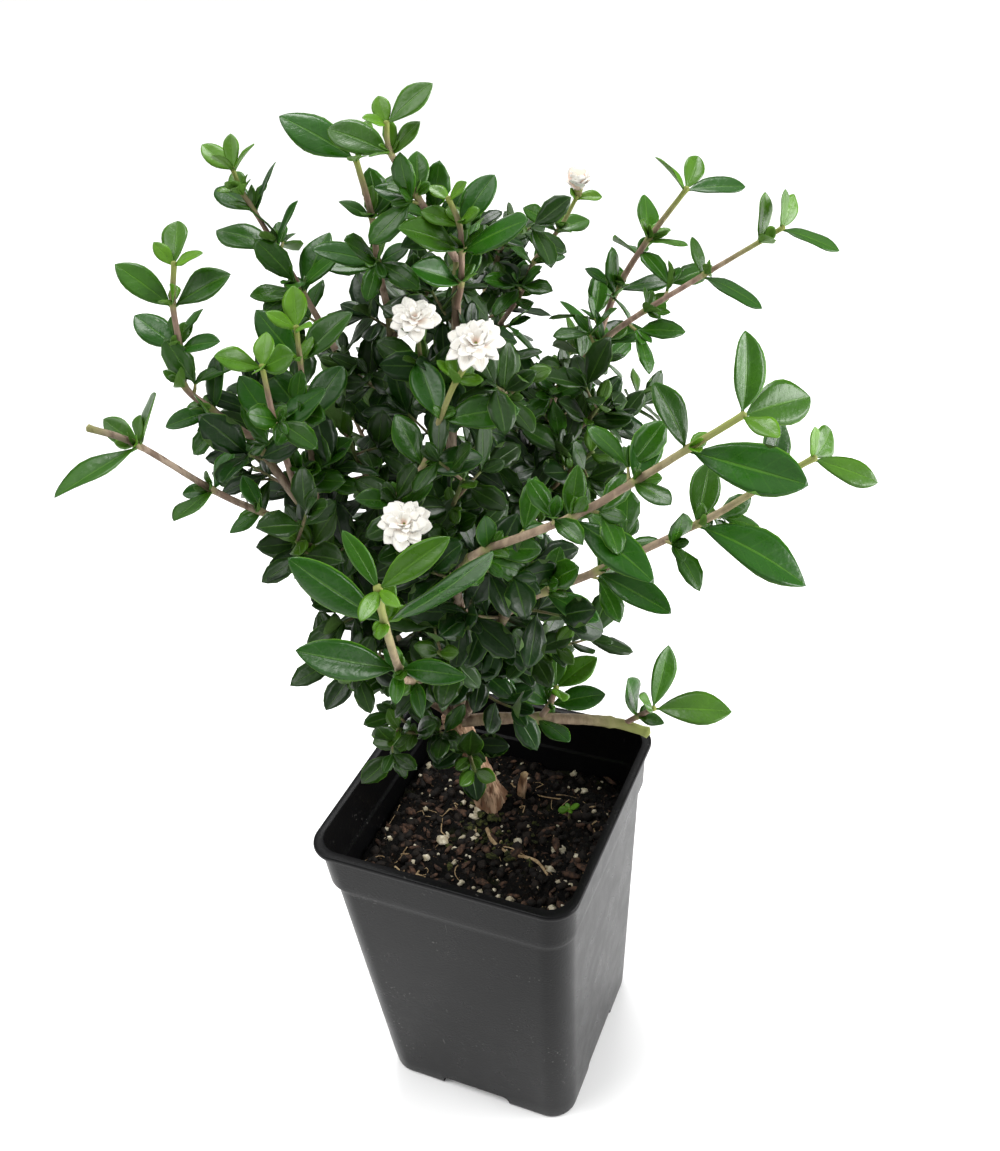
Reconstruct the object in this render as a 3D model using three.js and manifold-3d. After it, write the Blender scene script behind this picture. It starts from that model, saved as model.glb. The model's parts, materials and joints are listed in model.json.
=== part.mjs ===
// Potted serissa: a small evergreen shrub in a square nursery pot.
// Units are millimetres, +Z is up, and the origin is the middle of the pot's underside.
// The pot's front wall faces -Y. Every leafy shoot is a twig with its leaves joined to it.
import * as THREE from 'three';
import { mergeVertices } from 'three/addons/utils/BufferGeometryUtils.js';
import Module from 'manifold-3d';

const wasm = await Module();
wasm.setup();

// ---------------------------------------------------------------- driving dimensions

const GAP = 0.35; // clearance between pieces that touch in the real plant
const FINEST = 0.04; // slivers smaller than this are left out of a joined shoot

const POT = {
  height: 135,
  lipWidth: 100,
  lipThickness: 2.2,
  bandDepth: 19.5,
  bandTopWidth: 96.6,
  bandBottomWidth: 94.9,
  bodyTopWidth: 92.2,
  baseWidth: 79,
  cornerRadius: 10.2,
  cornerSteps: 6,
  wall: 1.6,
  floor: 2.2,
  footHeight: 4.5,
  notchWidth: 29,
  notchDepth: 13,
  drainRadius: 3.5,
};

const SOIL = { level: 109, cornerSteps: 2, clearance: 0.5 };

const LEAF = { ratio: 0.46, thickness: 0.8, sag: 0.12, fold: 0.25, spread: 50, stalk: 0.25, root: 0.025, setBack: 1 };

// the side of the plant that grows toward the window, and how strongly leaves turn to the light
const FRONT = new THREE.Vector3(0.46, -0.89, 0).normalize();
const CROWN_AXIS = new THREE.Vector2(-5, 5);
const CROWN_RADIUS = 110;
const LIGHT = { up: 0.8, outward: 0.7, front: 0.45, pull: 0.72 };

// what a leaf tries in turn until it clears its neighbours: [added roll, added spread, length factor]
const LEAF_TRIES = [
  [0, 0, 1],
  [25, 0, 1],
  [-25, 0, 1],
  [0, -18, 0.85],
  [0, 15, 0.8],
  [45, 0, 0.8],
  [-45, 0, 0.8],
  [0, 0, 0.6],
];

// Trunk and main stems: [radius at the start, radius at the end, points of the centre line]
const STEMS = {
  trunk: [6.4, 4.4, [[-4, 19, 86], [-7, 17, 104], [-8, 16, 111], [-11, 12, 134], [-15, 8, 159]]],
  stem_left: [
    2.1, 1.2,
    [[-15, 8, 159], [-22, -2, 178], [-24, -8, 203], [-30, -22, 244], [-36, -32, 270], [-43, -38, 293]],
  ],
  stem_back_left: [1.9, 1.1, [[-16, 10, 157], [-25, 16, 185], [-31, 22, 232], [-30, 23, 278], [-27, 20, 310]]],
  stem_centre: [2.1, 1.2, [[-15, 8, 159], [-10, 4, 198], [-6, 4, 247], [1, 3, 291], [8, 0, 335]]],
  stem_back: [1.8, 1.1, [[-16, 14, 155], [-17, 41, 179], [-14, 56, 232], [-15, 60, 288], [-10, 62, 308]]],
  stem_right: [2, 1.4, [[-14, 11, 158], [-4, 23, 185], [5, 36, 229], [13, 45, 257], [24, 51, 275]]],
  stem_front_right: [2, 1.4, [[-12, 5, 162], [6, -13, 213], [13, -32, 249], [23, -40, 266]]],
  stem_low_right: [2, 1.4, [[-11, 8, 159], [8, -5, 200], [23, -22, 233], [35, -29, 247]]],
};

// Named shoots: [radius at the start, radius at the tip, nodes]. A node is [x, y, z, leaf, leaf ...],
// and a leaf is [roll about the twig in degrees, length, spread from the twig, twist], the last two
// optional. Roll 0 lies across the front of the plant, to the right.
const SHOOTS = {
  far_left_shoot: [1.1, 0.9, [
    [-30, -31, 259],
    [-40, -46, 274, [60, 12], [200, 11]],
    [-47, -56, 286, [245, 17], [20, 13, 75], [160, 9]],
    [-56, -70, 306, [230, 26], [350, 19, 65], [110, 13], [10, 9]],
    [-63, -78, 314],
  ]],
  left_shoot: [1.1, 0.7, [
    [-43, -38, 293],
    [-52, -42, 303, [20, 16], [200, 14]],
    [-58, -44, 311, [100, 11], [280, 12]],
    [-57, -43, 322, [150, 17, 65], [330, 13, 65]],
    [-56, -43, 334, [175, 18], [355, 19]],
    [-54, -41, 345, [90, 14, 40], [340, 9], [160, 8]],
  ]],
  upper_left_shoot: [1, 0.6, [
    [-32, -5, 307],
    [-40, -5, 324, [45, 22], [215, 16]],
    [-46, -6, 338, [150, 20], [350, 15]],
    [-51, -6, 348, [125, 19], [5, 15]],
    [-53, -7, 353, [98, 9], [278, 9]],
    [-54, -8, 360, [140, 12], [330, 12], [60, 10, 30], [240, 9, 30]],
  ]],
  top_left_shoot: [1.1, 0.8, [
    [-22, 11, 314],
    [-18, 2, 332, [185, 20], [0, 11]],
    [-14, -5, 348, [170, 10], [35, 14]],
    [-13, -11, 365, [155, 22], [45, 11], [280, 9]],
  ]],
  top_shoot: [1.1, 0.7, [
    [8, 0, 335],
    [6, -3, 342, [30, 14], [210, 14]],
    [2, -8, 355, [60, 13], [165, 12]],
    [-2, -12, 367, [150, 18], [0, 11]],
    [-1, -14, 375, [15, 15], [105, 8], [200, 7]],
  ]],
  upper_mid_shoot: [1, 0.7, [
    [7, -1, 322],
    [11, -5, 331, [200, 18], [60, 12]],
    [13, -7, 341, [320, 25], [195, 20]],
    [13, -7, 348, [20, 16], [150, 11]],
    [11, -8, 355, [125, 8], [345, 7, 60]],
  ]],
  bud_shoot: [0.9, 0.6, [
    [-12, 61, 285],
    [5, 48, 306, [100, 12], [280, 12]],
    [10, 50, 317, [190, 16, 65], [20, 11]],
    [18, 52, 327, [190, 14, 70], [40, 12], [280, 8]],
    [24, 53, 337, [180, 9], [0, 8]],
  ]],
  right_upper_shoot: [1.2, 0.8, [
    [24, 51, 275],
    [29, 53, 291, [150, 18, 60], [0, 14]],
    [36, 54, 309, [170, 12, 70], [350, 18], [90, 9]],
    [45, 57, 324, [115, 16], [320, 13]],
    [56, 60, 339, [5, 18], [85, 14], [170, 13, 70]],
  ]],
  right_shoot: [1.1, 0.7, [
    [15, 44, 264],
    [22, 35, 282, [190, 12], [10, 12]],
    [37, 37, 299, [165, 10], [38, 16]],
    [49, 41, 308, [55, 10], [250, 11]],
    [65, 47, 318, [145, 12, 70], [335, 20]],
    [80, 53, 327, [150, 14], [250, 8]],
    [86, 54, 331, [350, 18], [105, 12], [160, 11]],
  ]],
  middle_right_shoot: [1.3, 0.9, [
    [23, -40, 266],
    [29, -40, 270, [30, 16], [190, 12]],
    [53, -38, 283, [320, 28], [160, 14]],
    [69, -34, 294, [110, 16], [290, 14]],
    [82, -32, 304, [163, 19, 70], [342, 31]],
    [95, -30, 314, [140, 20], [45, 22], [300, 12]],
  ]],
  lower_right_shoot: [1.3, 0.9, [
    [35, -29, 247],
    [40, -28, 250, [340, 18], [120, 14]],
    [55, -25, 258, [325, 24], [90, 18]],
    [81, -17, 273, [125, 18], [345, 34]],
    [97, -11, 284, [110, 22], [260, 8]],
    [109, -7, 292, [75, 14], [350, 19], [170, 9]],
  ]],
  low_branch: [2.3, 1.8, [[-14, 8, 156], [-1, 8, 161], [17, 13, 162, [255, 18]], [40, 23, 158], [53, 27, 153]]],
  low_side_shoot: [1.1, 0.9, [
    [45, 25, 157],
    [50, 26, 161, [180, 24], [350, 10]],
    [56, 25, 167, [110, 23], [10, 28], [200, 14]],
  ]],
  low_upright_shoot: [1.2, 0.9, [
    [17, 13, 162],
    [22, 12, 171, [180, 22], [0, 20]],
    [25, 11, 180, [155, 22], [90, 16], [30, 18], [270, 12]],
  ]],
  foreground_shoot: [1.3, 1, [
    [3, -6, 196],
    [2, -45, 221, [100, 14], [280, 14]],
    [9, -63, 241, [175, 32], [340, 22], [260, 14]],
    [18, -81, 272, [155, 30], [0, 38, 50, 75], [70, 12]],
    [24, -91, 290, [115, 16], [20, 22], [250, 12], [300, 10]],
  ]],
  flower_shoot: [1, 0.8, [
    [-6, 3, 250],
    [-1, -34, 277, [0, 13], [180, 13]],
    [6, -29, 287, [180, 17], [330, 18]],
    [10, -24, 299, [125, 20], [345, 22]],
    [14, -20, 309, [60, 9], [240, 9]],
    [19, -17, 316],
  ]],
  centre_left_shoot: [1, 0.7, [
    [-33, -28, 264],
    [-31, -29, 280, [200, 16], [20, 15]],
    [-30, -29, 296, [130, 22], [50, 20]],
    [-28, -30, 315, [145, 19], [30, 20]],
    [-26, -32, 326, [90, 12], [300, 10], [180, 9]],
  ]],
  front_left_shoot: [1, 0.7, [
    [-36, -32, 273],
    [-33, -40, 299, [130, 18], [15, 18]],
    [-30, -45, 320, [80, 10], [200, 14], [330, 14], [270, 8]],
  ]],
};

// Short inner twigs: [roll of the first leaf pair, leaf length, pairs, points of the centre line].
// Their leaf pairs are evenly spaced, and each pair is turned a quarter from the one below.
const TWIGS = {
  inner_twig_front_left: [20, 16, 4, [[-30, -22, 244], [-26, -40, 260], [-24, -53, 271]]],
  inner_twig_left: [60, 15, 4, [[-32, -23, 252], [-44, -23, 268], [-57, -24, 280]]],
  lower_twig_front_left: [40, 15, 4, [[-23, -8, 200], [-20, -38, 215], [-18, -54, 227]]],
  inner_twig_low_left: [0, 15, 4, [[-25, -11, 212], [-22, -27, 230], [-20, -37, 245]]],
  inner_twig_front: [70, 16, 4, [[-10, 4, 195], [5, -24, 212], [12, -45, 234]]],
  low_twig_right: [35, 15, 4, [[8, -5, 200], [21, -10, 212], [36, -12, 218]]],
  inner_twig_centre: [20, 15, 4, [[-6, 4, 240], [6, -20, 262], [17, -28, 283]]],
  upper_twig_centre: [50, 15, 3, [[1, 3, 291], [18, -2, 295], [28, -5, 304]]],
  upper_twig_left: [15, 15, 3, [[-30, 23, 278], [-40, 13, 291], [-43, 9, 302]]],
  upper_twig_inner: [45, 15, 3, [[-27, 21, 300], [-13, 16, 316], [-3, 13, 326]]],
  inner_twig_back_left: [0, 16, 4, [[-30, 21, 225], [-31, -3, 266], [-28, -12, 282]]],
  inner_twig_back: [80, 15, 4, [[-14, 56, 232], [1, 57, 240], [14, 58, 254]]],
  upper_twig_back: [30, 14, 4, [[-11, 62, 300], [0, 45, 320], [11, 33, 334]]],
  inner_twig_right: [40, 16, 4, [[5, 36, 229], [27, 20, 258], [41, 12, 274]]],
  upper_twig_right: [0, 15, 4, [[13, 45, 254], [30, 33, 270], [39, 26, 283]]],
  trunk_twig_front: [20, 16, 3, [[-13, 10, 148], [-3, -6, 155], [4, -16, 158]]],
  trunk_twig_left: [70, 15, 3, [[-15, 8, 155], [-20, -10, 164], [-22, -20, 174]]],
  back_twig_low: [30, 17, 4, [[-17, 41, 179], [-30, 66, 205], [-36, 82, 228]]],
  back_twig_middle: [72, 17, 4, [[-15, 57, 238], [0, 78, 255], [8, 90, 274]]],
  back_twig_left: [0, 17, 4, [[-31, 22, 232], [-54, 38, 252], [-66, 46, 270]]],
  back_twig_right: [45, 17, 4, [[4, 35, 224], [26, 62, 246], [36, 74, 264]]],
  back_twig_top: [10, 16, 4, [[-15, 60, 285], [-28, 74, 303], [-33, 82, 318]]],
  flower_twig_low: [15, 14, 4, [[-8, 4, 222], [-2, -22, 250], [5, -40, 273]]],
  flower_twig_high: [60, 14, 3, [[0, 3, 286], [-2, -8, 305], [0, -13, 319]]],
};
const TWIG_RADIUS = [0.9, 0.6];
const TWIG_SPREAD = 55;
const TWIG_TIP_SPREAD = 38;

// Open flowers: [centre, length of the outer petals]; the bud opens last
const FLOWERS = {
  flower_low: [[7, -46, 278], 7.6],
  flower_left: [[1, -15, 324], 6.8],
  flower_right: [[20, -18, 320], 8.2],
};
const BUD = { base: [24.4, 53.3, 338], radius: 3.4, petals: 5 };

const COLOURS = {
  pot: [0x2b2c2e, 0.6],
  soil: [0x17120f, 0.95],
  bark: [0x9c8468, 0.85],
  stem: [0x8d7a66, 0.8],
  shoot: [0x2f6a35, 0.45],
  youngShoot: [0x4f8a3c, 0.45],
  innerShoot: [0x1f4a28, 0.45],
  petal: [0xf3efe2, 0.6],
  perlite: [0xe9e4d6, 0.9],
  root: [0xb59c78, 0.8],
};

// ---------------------------------------------------------------- solids

function toSolid(geometry) {
  const bare = geometry.clone();
  bare.deleteAttribute('normal');
  bare.deleteAttribute('uv');
  const merged = mergeVertices(bare, 1e-4);
  return new wasm.Manifold(new wasm.Mesh({
    numProp: 3,
    vertProperties: new Float32Array(merged.attributes.position.array),
    triVerts: new Uint32Array(merged.index.array),
  }));
}

function solidFromFaces(points, faces) {
  const geometry = new THREE.BufferGeometry().setFromPoints(points);
  geometry.setIndex(faces.flat());
  return toSolid(geometry);
}

// Skin a row of closed rings, each with the same number of points, and close both ends.
function loft(rings) {
  const count = rings[0].length;
  const faces = [];
  for (let row = 0; row + 1 < rings.length; row += 1) {
    for (let i = 0; i < count; i += 1) {
      const next = (i + 1) % count;
      const low = row * count;
      const high = low + count;
      faces.push([low + i, low + next, high + next]);
      faces.push([low + i, high + next, high + i]);
    }
  }
  const top = (rings.length - 1) * count;
  for (let i = 1; i + 1 < count; i += 1) {
    faces.push([0, i + 1, i]);
    faces.push([top, top + i, top + i + 1]);
  }
  return solidFromFaces(rings.flat(), faces);
}

function largestPiece(solid) {
  return solid.decompose().reduce((best, piece) => (piece.volume() > best.volume() ? piece : best));
}

// ---------------------------------------------------------------- wood

// The direction of a centre line at each of its points.
function directions(points) {
  return points.map((point, i) => {
    const before = points[Math.max(i - 1, 0)];
    const after = points[Math.min(i + 1, points.length - 1)];
    return after.clone().sub(before).normalize();
  });
}

// A tapered round stem along straight lines between points, grown by `swell` all round.
function stemSolid(points, startRadius, endRadius, sides, swell = 0) {
  const along = directions(points);
  const rings = points.map((point, i) => {
    const across = new THREE.Vector3().crossVectors(along[i], FRONT).normalize();
    const behind = new THREE.Vector3().crossVectors(along[i], across);
    const radius = THREE.MathUtils.lerp(startRadius, endRadius, i / (points.length - 1)) + swell;
    const end = i === 0 ? -1 : Number(i === points.length - 1);
    const middle = point.clone().addScaledVector(along[i], end * swell);
    return Array.from({ length: sides }, (_, k) => {
      const angle = (2 * Math.PI * k) / sides;
      return middle.clone()
        .addScaledVector(across, radius * Math.cos(angle))
        .addScaledVector(behind, radius * Math.sin(angle));
    });
  });
  return loft(rings);
}

// ---------------------------------------------------------------- leaves

// A leaf stands just below its node, points away from its twig at `spread`, and its upper face
// turns to the light.
function leafFrame(base, twigAxis, roll, spread, twist = 0) {
  const across = new THREE.Vector3().crossVectors(twigAxis, FRONT).normalize();
  const behind = new THREE.Vector3().crossVectors(twigAxis, across);
  const turn = THREE.MathUtils.degToRad(roll);
  const lean = THREE.MathUtils.degToRad(spread);
  const outward = across.multiplyScalar(Math.cos(turn)).addScaledVector(behind, Math.sin(turn));
  const along = twigAxis.clone().multiplyScalar(Math.cos(lean)).addScaledVector(outward, Math.sin(lean));
  const light = new THREE.Vector3(base.x - CROWN_AXIS.x, base.y - CROWN_AXIS.y, 0)
    .multiplyScalar(LIGHT.outward / CROWN_RADIUS)
    .addScaledVector(FRONT, LIGHT.front)
    .add(new THREE.Vector3(0, 0, LIGHT.up));
  light.addScaledVector(along, -light.dot(along));
  const face = twigAxis.clone().addScaledVector(along, -twigAxis.dot(along))
    .multiplyScalar(1 - LIGHT.pull)
    .addScaledVector(light, LIGHT.pull)
    .normalize();
  face.applyAxisAngle(along, THREE.MathUtils.degToRad(twist));
  return { along, face };
}

// Half outlines of a blade: [share of the length, share of the half width]
const FULL_OUTLINE = [[0.36, 0.92], [0.72, 0.76]];
const PLAIN_OUTLINE = [[0.52, 1]];

// A blade folded along its midrib and drooping to its tip: its rim with one ridge point above
// and one below. The same form makes leaves and petals.
function bladeSolid(base, along, face, length, width, outline, swell = 0) {
  const side = new THREE.Vector3().crossVectors(face, along);
  const half = width / 2 + swell;
  const reach = length + swell;
  const at = (t, across, lift) => base.clone()
    .addScaledVector(along, t * reach)
    .addScaledVector(side, across)
    .addScaledVector(face, lift - LEAF.sag * length * t * t);
  const fold = LEAF.fold * half;
  const stalk = LEAF.stalk + swell;
  const rim = [
    at(LEAF.root, -stalk, 0),
    ...outline.map(([t, share]) => at(t, -share * half, fold)),
    at(1, 0, 0),
    ...outline.map(([t, share]) => at(t, share * half, fold)).reverse(),
    at(LEAF.root, stalk, 0),
  ];
  const depth = LEAF.thickness / 2 + swell;
  const above = rim.length;
  const below = rim.length + 1;
  const points = [...rim, at(0.45, 0, depth), at(0.45, 0, -depth)];
  const faces = rim.flatMap((_, i) => {
    const next = (i + 1) % rim.length;
    return [[above, i, next], [below, next, i]];
  });
  return solidFromFaces(points, faces);
}

// ---------------------------------------------------------------- placing without overlaps

const placed = [];

function boxesMeet(a, b) {
  return [0, 1, 2].every((k) => a.min[k] <= b.max[k] && b.min[k] <= a.max[k]);
}

function place(owner, solid, swollen = null) {
  placed.push({ owner, solid, swollen, box: (swollen ?? solid).boundingBox() });
}

// Cut a piece of wood back from everything placed before it.
function cutBack(solid) {
  const box = solid.boundingBox();
  const neighbours = placed.filter((other) => other.swollen && boxesMeet(box, other.box));
  return largestPiece(neighbours.reduce((rest, other) => rest.subtract(other.swollen), solid));
}

function isClear(owner, solid) {
  const box = solid.boundingBox();
  return placed.every((other) => (
    other.owner === owner
    || !boxesMeet(box, other.box)
    || solid.intersect(other.solid).isEmpty()
  ));
}

// The first try that keeps a leaf clear of every other shoot, or null if none does.
function fitLeaf(owner, base, twigAxis, outline, [roll, length, spread = LEAF.spread, twist = 0]) {
  for (const [addedRoll, addedSpread, factor] of LEAF_TRIES) {
    const { along, face } = leafFrame(base, twigAxis, roll + addedRoll, spread + addedSpread, twist);
    const size = length * factor;
    const width = LEAF.ratio * size;
    if (isClear(owner, bladeSolid(base, along, face, size, width, FULL_OUTLINE, GAP))) {
      return bladeSolid(base, along, face, size, width, outline);
    }
  }
  return null;
}

// ---------------------------------------------------------------- pot and soil

function roundedSquare(width, z, radius, steps) {
  const straight = width / 2 - radius;
  const ring = [];
  for (let corner = 0; corner < 4; corner += 1) {
    const middle = (Math.PI / 2) * corner + Math.PI / 4;
    const centreX = straight * Math.SQRT2 * Math.cos(middle);
    const centreY = straight * Math.SQRT2 * Math.sin(middle);
    for (let step = 0; step <= steps; step += 1) {
      const angle = (Math.PI / 2) * (corner + step / steps);
      ring.push(new THREE.Vector3(
        centreX + radius * Math.cos(angle),
        centreY + radius * Math.sin(angle),
        z,
      ));
    }
  }
  return ring;
}

// Inner width of the pot's tapered body at a height.
function insideWidth(z) {
  const bandBottom = POT.height - POT.bandDepth;
  const share = z / bandBottom;
  return THREE.MathUtils.lerp(POT.baseWidth, POT.bodyTopWidth, share) - 2 * POT.wall;
}

// A block under the middle of each side, reaching in from the wall: the notch between two feet,
// or with `grow` the raised part of the floor that covers it.
function notchBlocks(grow) {
  const depth = POT.notchDepth + grow;
  const block = new THREE.BoxGeometry(POT.notchWidth + 2 * grow, POT.lipWidth, 2 * (POT.footHeight + grow));
  block.translate(0, POT.baseWidth / 2 - depth + POT.lipWidth / 2, 0);
  return [0, 1, 2, 3].map((side) => toSolid(block.clone().rotateZ((side * Math.PI) / 2)));
}

function potSolid() {
  const bandBottom = POT.height - POT.bandDepth;
  const lipBottom = POT.height - POT.lipThickness;
  const ring = (width, z) => roundedSquare(width, z, POT.cornerRadius, POT.cornerSteps);
  const insideRing = (width, z) => roundedSquare(width, z, POT.cornerRadius - POT.wall, POT.cornerSteps);
  const outside = loft([
    ring(POT.baseWidth - 1.6, 0),
    ring(POT.baseWidth, 1.2),
    ring(POT.bodyTopWidth, bandBottom - 0.4),
    ring(POT.bandBottomWidth, bandBottom),
    ring(POT.bandTopWidth, lipBottom),
    ring(POT.lipWidth, lipBottom + 0.2),
    ring(POT.lipWidth, POT.height - 0.8),
    ring(POT.lipWidth - 1.4, POT.height),
  ]);
  const inside = loft([
    insideRing(insideWidth(POT.floor), POT.floor),
    insideRing(insideWidth(bandBottom), bandBottom + 1.2),
    insideRing(POT.bandBottomWidth - 2 * POT.wall, bandBottom + 2),
    insideRing(POT.bandTopWidth - 2 * POT.wall, POT.height + 1),
  ]);
  const cavity = notchBlocks(POT.floor).reduce((rest, block) => rest.subtract(block), inside);
  const drain = new THREE.CylinderGeometry(POT.drainRadius, POT.drainRadius, 6 * POT.floor, 12);
  drain.rotateX(Math.PI / 2);
  drain.translate(0, POT.baseWidth / 2 - POT.notchDepth / 2, POT.footHeight);
  const drains = [0, 1, 2, 3].map((side) => toSolid(drain.clone().rotateZ((side * Math.PI) / 2)));
  return [cavity, ...notchBlocks(0), ...drains].reduce((rest, tool) => rest.subtract(tool), outside);
}

// Height of the soil's lumpy surface.
function soilHeight(x, y) {
  return SOIL.level + 0.8 * Math.sin(0.31 * x + 1.3) * Math.cos(0.27 * y - 0.4)
    + 0.5 * Math.sin(0.17 * x - 0.21 * y);
}

function soilSolid() {
  const floorTop = POT.floor + GAP;
  const ring = (width, z) => roundedSquare(width, z, POT.cornerRadius - 2, SOIL.cornerSteps);
  const topWidth = insideWidth(SOIL.level) - 2 * SOIL.clearance;
  const crumbs = [1, 0.8, 0.5, 0.2].map((share) => (
    ring(topWidth, 0).map((point) => {
      const x = point.x * share;
      const y = point.y * share;
      return new THREE.Vector3(x, y, soilHeight(x, y) - (share === 1 ? 1.2 : 0));
    })
  ));
  const filling = loft([ring(insideWidth(floorTop) - 2 * SOIL.clearance, floorTop), ...crumbs]);
  return notchBlocks(POT.floor + GAP).reduce((rest, block) => rest.subtract(block), filling);
}

// ---------------------------------------------------------------- small pieces

// A double flower as one skin of star-shaped rings, from its cup up through two whorls of
// pointed petals: [height, reach of the even points, reach of the odd points], all in petal lengths
const FLOWER_RINGS = [
  [-0.34, 0.1, 0.1],
  [-0.08, 0.22, 0.22],
  [0.12, 1, 0.44],
  [0.18, 0.97, 0.42],
  [0.15, 0.42, 0.3],
  [0.38, 0.32, 0.68],
  [0.44, 0.3, 0.66],
  [0.32, 0.18, 0.2],
];
const FLOWER_PETALS = 7;

function flowerSolid(centre, petalLength, facing) {
  const upright = new THREE.Quaternion().setFromUnitVectors(new THREE.Vector3(0, 0, 1), facing);
  return loft(FLOWER_RINGS.map(([height, even, odd]) => (
    Array.from({ length: 2 * FLOWER_PETALS }, (_, k) => {
      const angle = (Math.PI * k) / FLOWER_PETALS;
      const reach = k % 2 === 0 ? even : odd;
      return new THREE.Vector3(reach * Math.cos(angle), reach * Math.sin(angle), height)
        .multiplyScalar(petalLength)
        .applyQuaternion(upright)
        .add(centre);
    })
  )));
}

function budSolid(base, radius, petals) {
  const profile = [[0, 0], [0.5, 0.1], [0.85, 0.5], [1, 1.1], [0.8, 1.7], [0.35, 2.1], [0, 2.2]];
  const shape = profile.map(([r, z]) => new THREE.Vector2(r * radius, z * radius));
  const geometry = new THREE.LatheGeometry(shape, 2 * petals);
  geometry.rotateX(Math.PI / 2);
  geometry.translate(base.x, base.y, base.z);
  return toSolid(geometry);
}

function seedlingSolid(foot) {
  const top = foot.clone().add(new THREE.Vector3(0.6, -0.8, 9));
  const stalk = stemSolid([foot, top], 0.6, 0.5, 5);
  const up = new THREE.Vector3(0, 0, 1);
  const leaves = [10, 190].map((roll) => {
    const { along, face } = leafFrame(top, up, roll, 65);
    return bladeSolid(top.clone().addScaledVector(up, -0.8), along, face, 4.6, 3.2, PLAIN_OUTLINE);
  });
  return wasm.Manifold.union([stalk, ...leaves]);
}

function perliteSolid(centre, radius) {
  const grain = new THREE.IcosahedronGeometry(radius, 1);
  grain.scale(1, 0.8, 0.7);
  grain.rotateZ(0.6);
  grain.translate(centre.x, centre.y, centre.z);
  return toSolid(grain);
}

// ---------------------------------------------------------------- the scene

function material([color, roughness]) {
  return new THREE.MeshStandardMaterial({ color, roughness, metalness: 0 });
}

// A named mesh whose own origin is at `origin`.
function meshOf(name, solid, look, origin = new THREE.Vector3()) {
  const { vertProperties, triVerts } = solid.getMesh();
  const geometry = new THREE.BufferGeometry();
  geometry.setAttribute('position', new THREE.BufferAttribute(new Float32Array(vertProperties), 3));
  geometry.setIndex(new THREE.BufferAttribute(new Uint32Array(triVerts), 1));
  geometry.translate(-origin.x, -origin.y, -origin.z);
  geometry.computeVertexNormals();
  const mesh = new THREE.Mesh(geometry, material(look));
  mesh.name = name;
  mesh.position.copy(origin);
  return mesh;
}

const vectors = (rows) => rows.map(([x, y, z]) => new THREE.Vector3(x, y, z));

// An inner twig written out as nodes: evenly spaced pairs, each a quarter turn on from the last.
function twigNodes([firstRoll, size, pairs, route]) {
  const line = new THREE.CurvePath();
  const corners = vectors(route);
  corners.slice(1).forEach((corner, i) => line.add(new THREE.LineCurve3(corners[i], corner)));
  const nodes = [route[0]];
  for (let pair = 0; pair < pairs; pair += 1) {
    const share = (pair + 1) / pairs;
    const last = pair === pairs - 1;
    const length = size * (last ? 0.62 : 0.85 + 0.25 * Math.sin(Math.PI * share));
    const spread = last ? TWIG_TIP_SPREAD : TWIG_SPREAD;
    const roll = firstRoll + 90 * pair;
    const leaves = [[roll, length, spread], [roll + 180, 0.92 * length, spread]];
    nodes.push([...line.getPoint(share).toArray(), ...leaves]);
  }
  return nodes;
}

const plant = new THREE.Group();
const container = new THREE.Group();
const group = new THREE.Group();
group.add(container, plant);

const isYoung = (name) => /upper|top|bud|far|left_shoot/.test(name);

function buildStems() {
  for (const [name, [startRadius, endRadius, route]] of Object.entries(STEMS)) {
    const points = vectors(route);
    const sides = name === 'trunk' ? 12 : 7;
    const solid = cutBack(stemSolid(points, startRadius, endRadius, sides));
    place(name, solid, stemSolid(points, startRadius, endRadius, sides, GAP));
    plant.add(meshOf(name, solid, name === 'trunk' ? COLOURS.bark : COLOURS.stem, points[0]));
  }
}

// Every twig is placed before any leaf, so a leaf gives way to wood and never the other way.
function buildShoots() {
  const shoots = Object.entries(SHOOTS).map(([name, [start, tip, nodes]]) => (
    {
      name, start, tip, nodes,
      points: vectors(nodes),
      sides: 5,
      outline: FULL_OUTLINE,
      look: isYoung(name) ? COLOURS.youngShoot : COLOURS.shoot,
    }
  ));
  for (const [name, row] of Object.entries(TWIGS)) {
    const [start, tip] = TWIG_RADIUS;
    shoots.push({
      name, start, tip,
      nodes: twigNodes(row),
      points: vectors(row[3]),
      sides: 4,
      outline: PLAIN_OUTLINE,
      look: COLOURS.innerShoot,
    });
  }
  for (const shoot of shoots) {
    const { points } = shoot;
    shoot.wood = cutBack(stemSolid(points, shoot.start, shoot.tip, shoot.sides));
    place(shoot.name, shoot.wood, stemSolid(points, shoot.start, shoot.tip, shoot.sides, GAP));
  }
  buildFlowers();
  for (const shoot of shoots) {
    const nodes = vectors(shoot.nodes);
    const axes = directions(nodes);
    const leaves = shoot.nodes.flatMap((node, i) => {
      const base = nodes[i].clone().addScaledVector(axes[i], -LEAF.setBack);
      return node.slice(3)
        .map((leaf) => fitLeaf(shoot.name, base, axes[i], shoot.outline, leaf))
        .filter(Boolean);
    });
    leaves.forEach((leaf) => place(shoot.name, leaf));
    const solid = largestPiece(wasm.Manifold.union([shoot.wood, ...leaves])).simplify(FINEST);
    plant.add(meshOf(shoot.name, solid, shoot.look, shoot.points[0]));
  }
}

function buildFlowers() {
  const facing = FRONT.clone().multiplyScalar(0.55).add(new THREE.Vector3(0, 0, 0.83)).normalize();
  for (const [name, [at, petalLength]] of Object.entries(FLOWERS)) {
    const centre = new THREE.Vector3(...at);
    const solid = cutBack(flowerSolid(centre, petalLength, facing));
    place(name, solid);
    plant.add(meshOf(name, solid, COLOURS.petal, centre));
  }
  const base = new THREE.Vector3(...BUD.base);
  const bud = cutBack(budSolid(base, BUD.radius, BUD.petals));
  place('flower_bud', bud);
  plant.add(meshOf('flower_bud', bud, COLOURS.petal, base));
}

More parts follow.
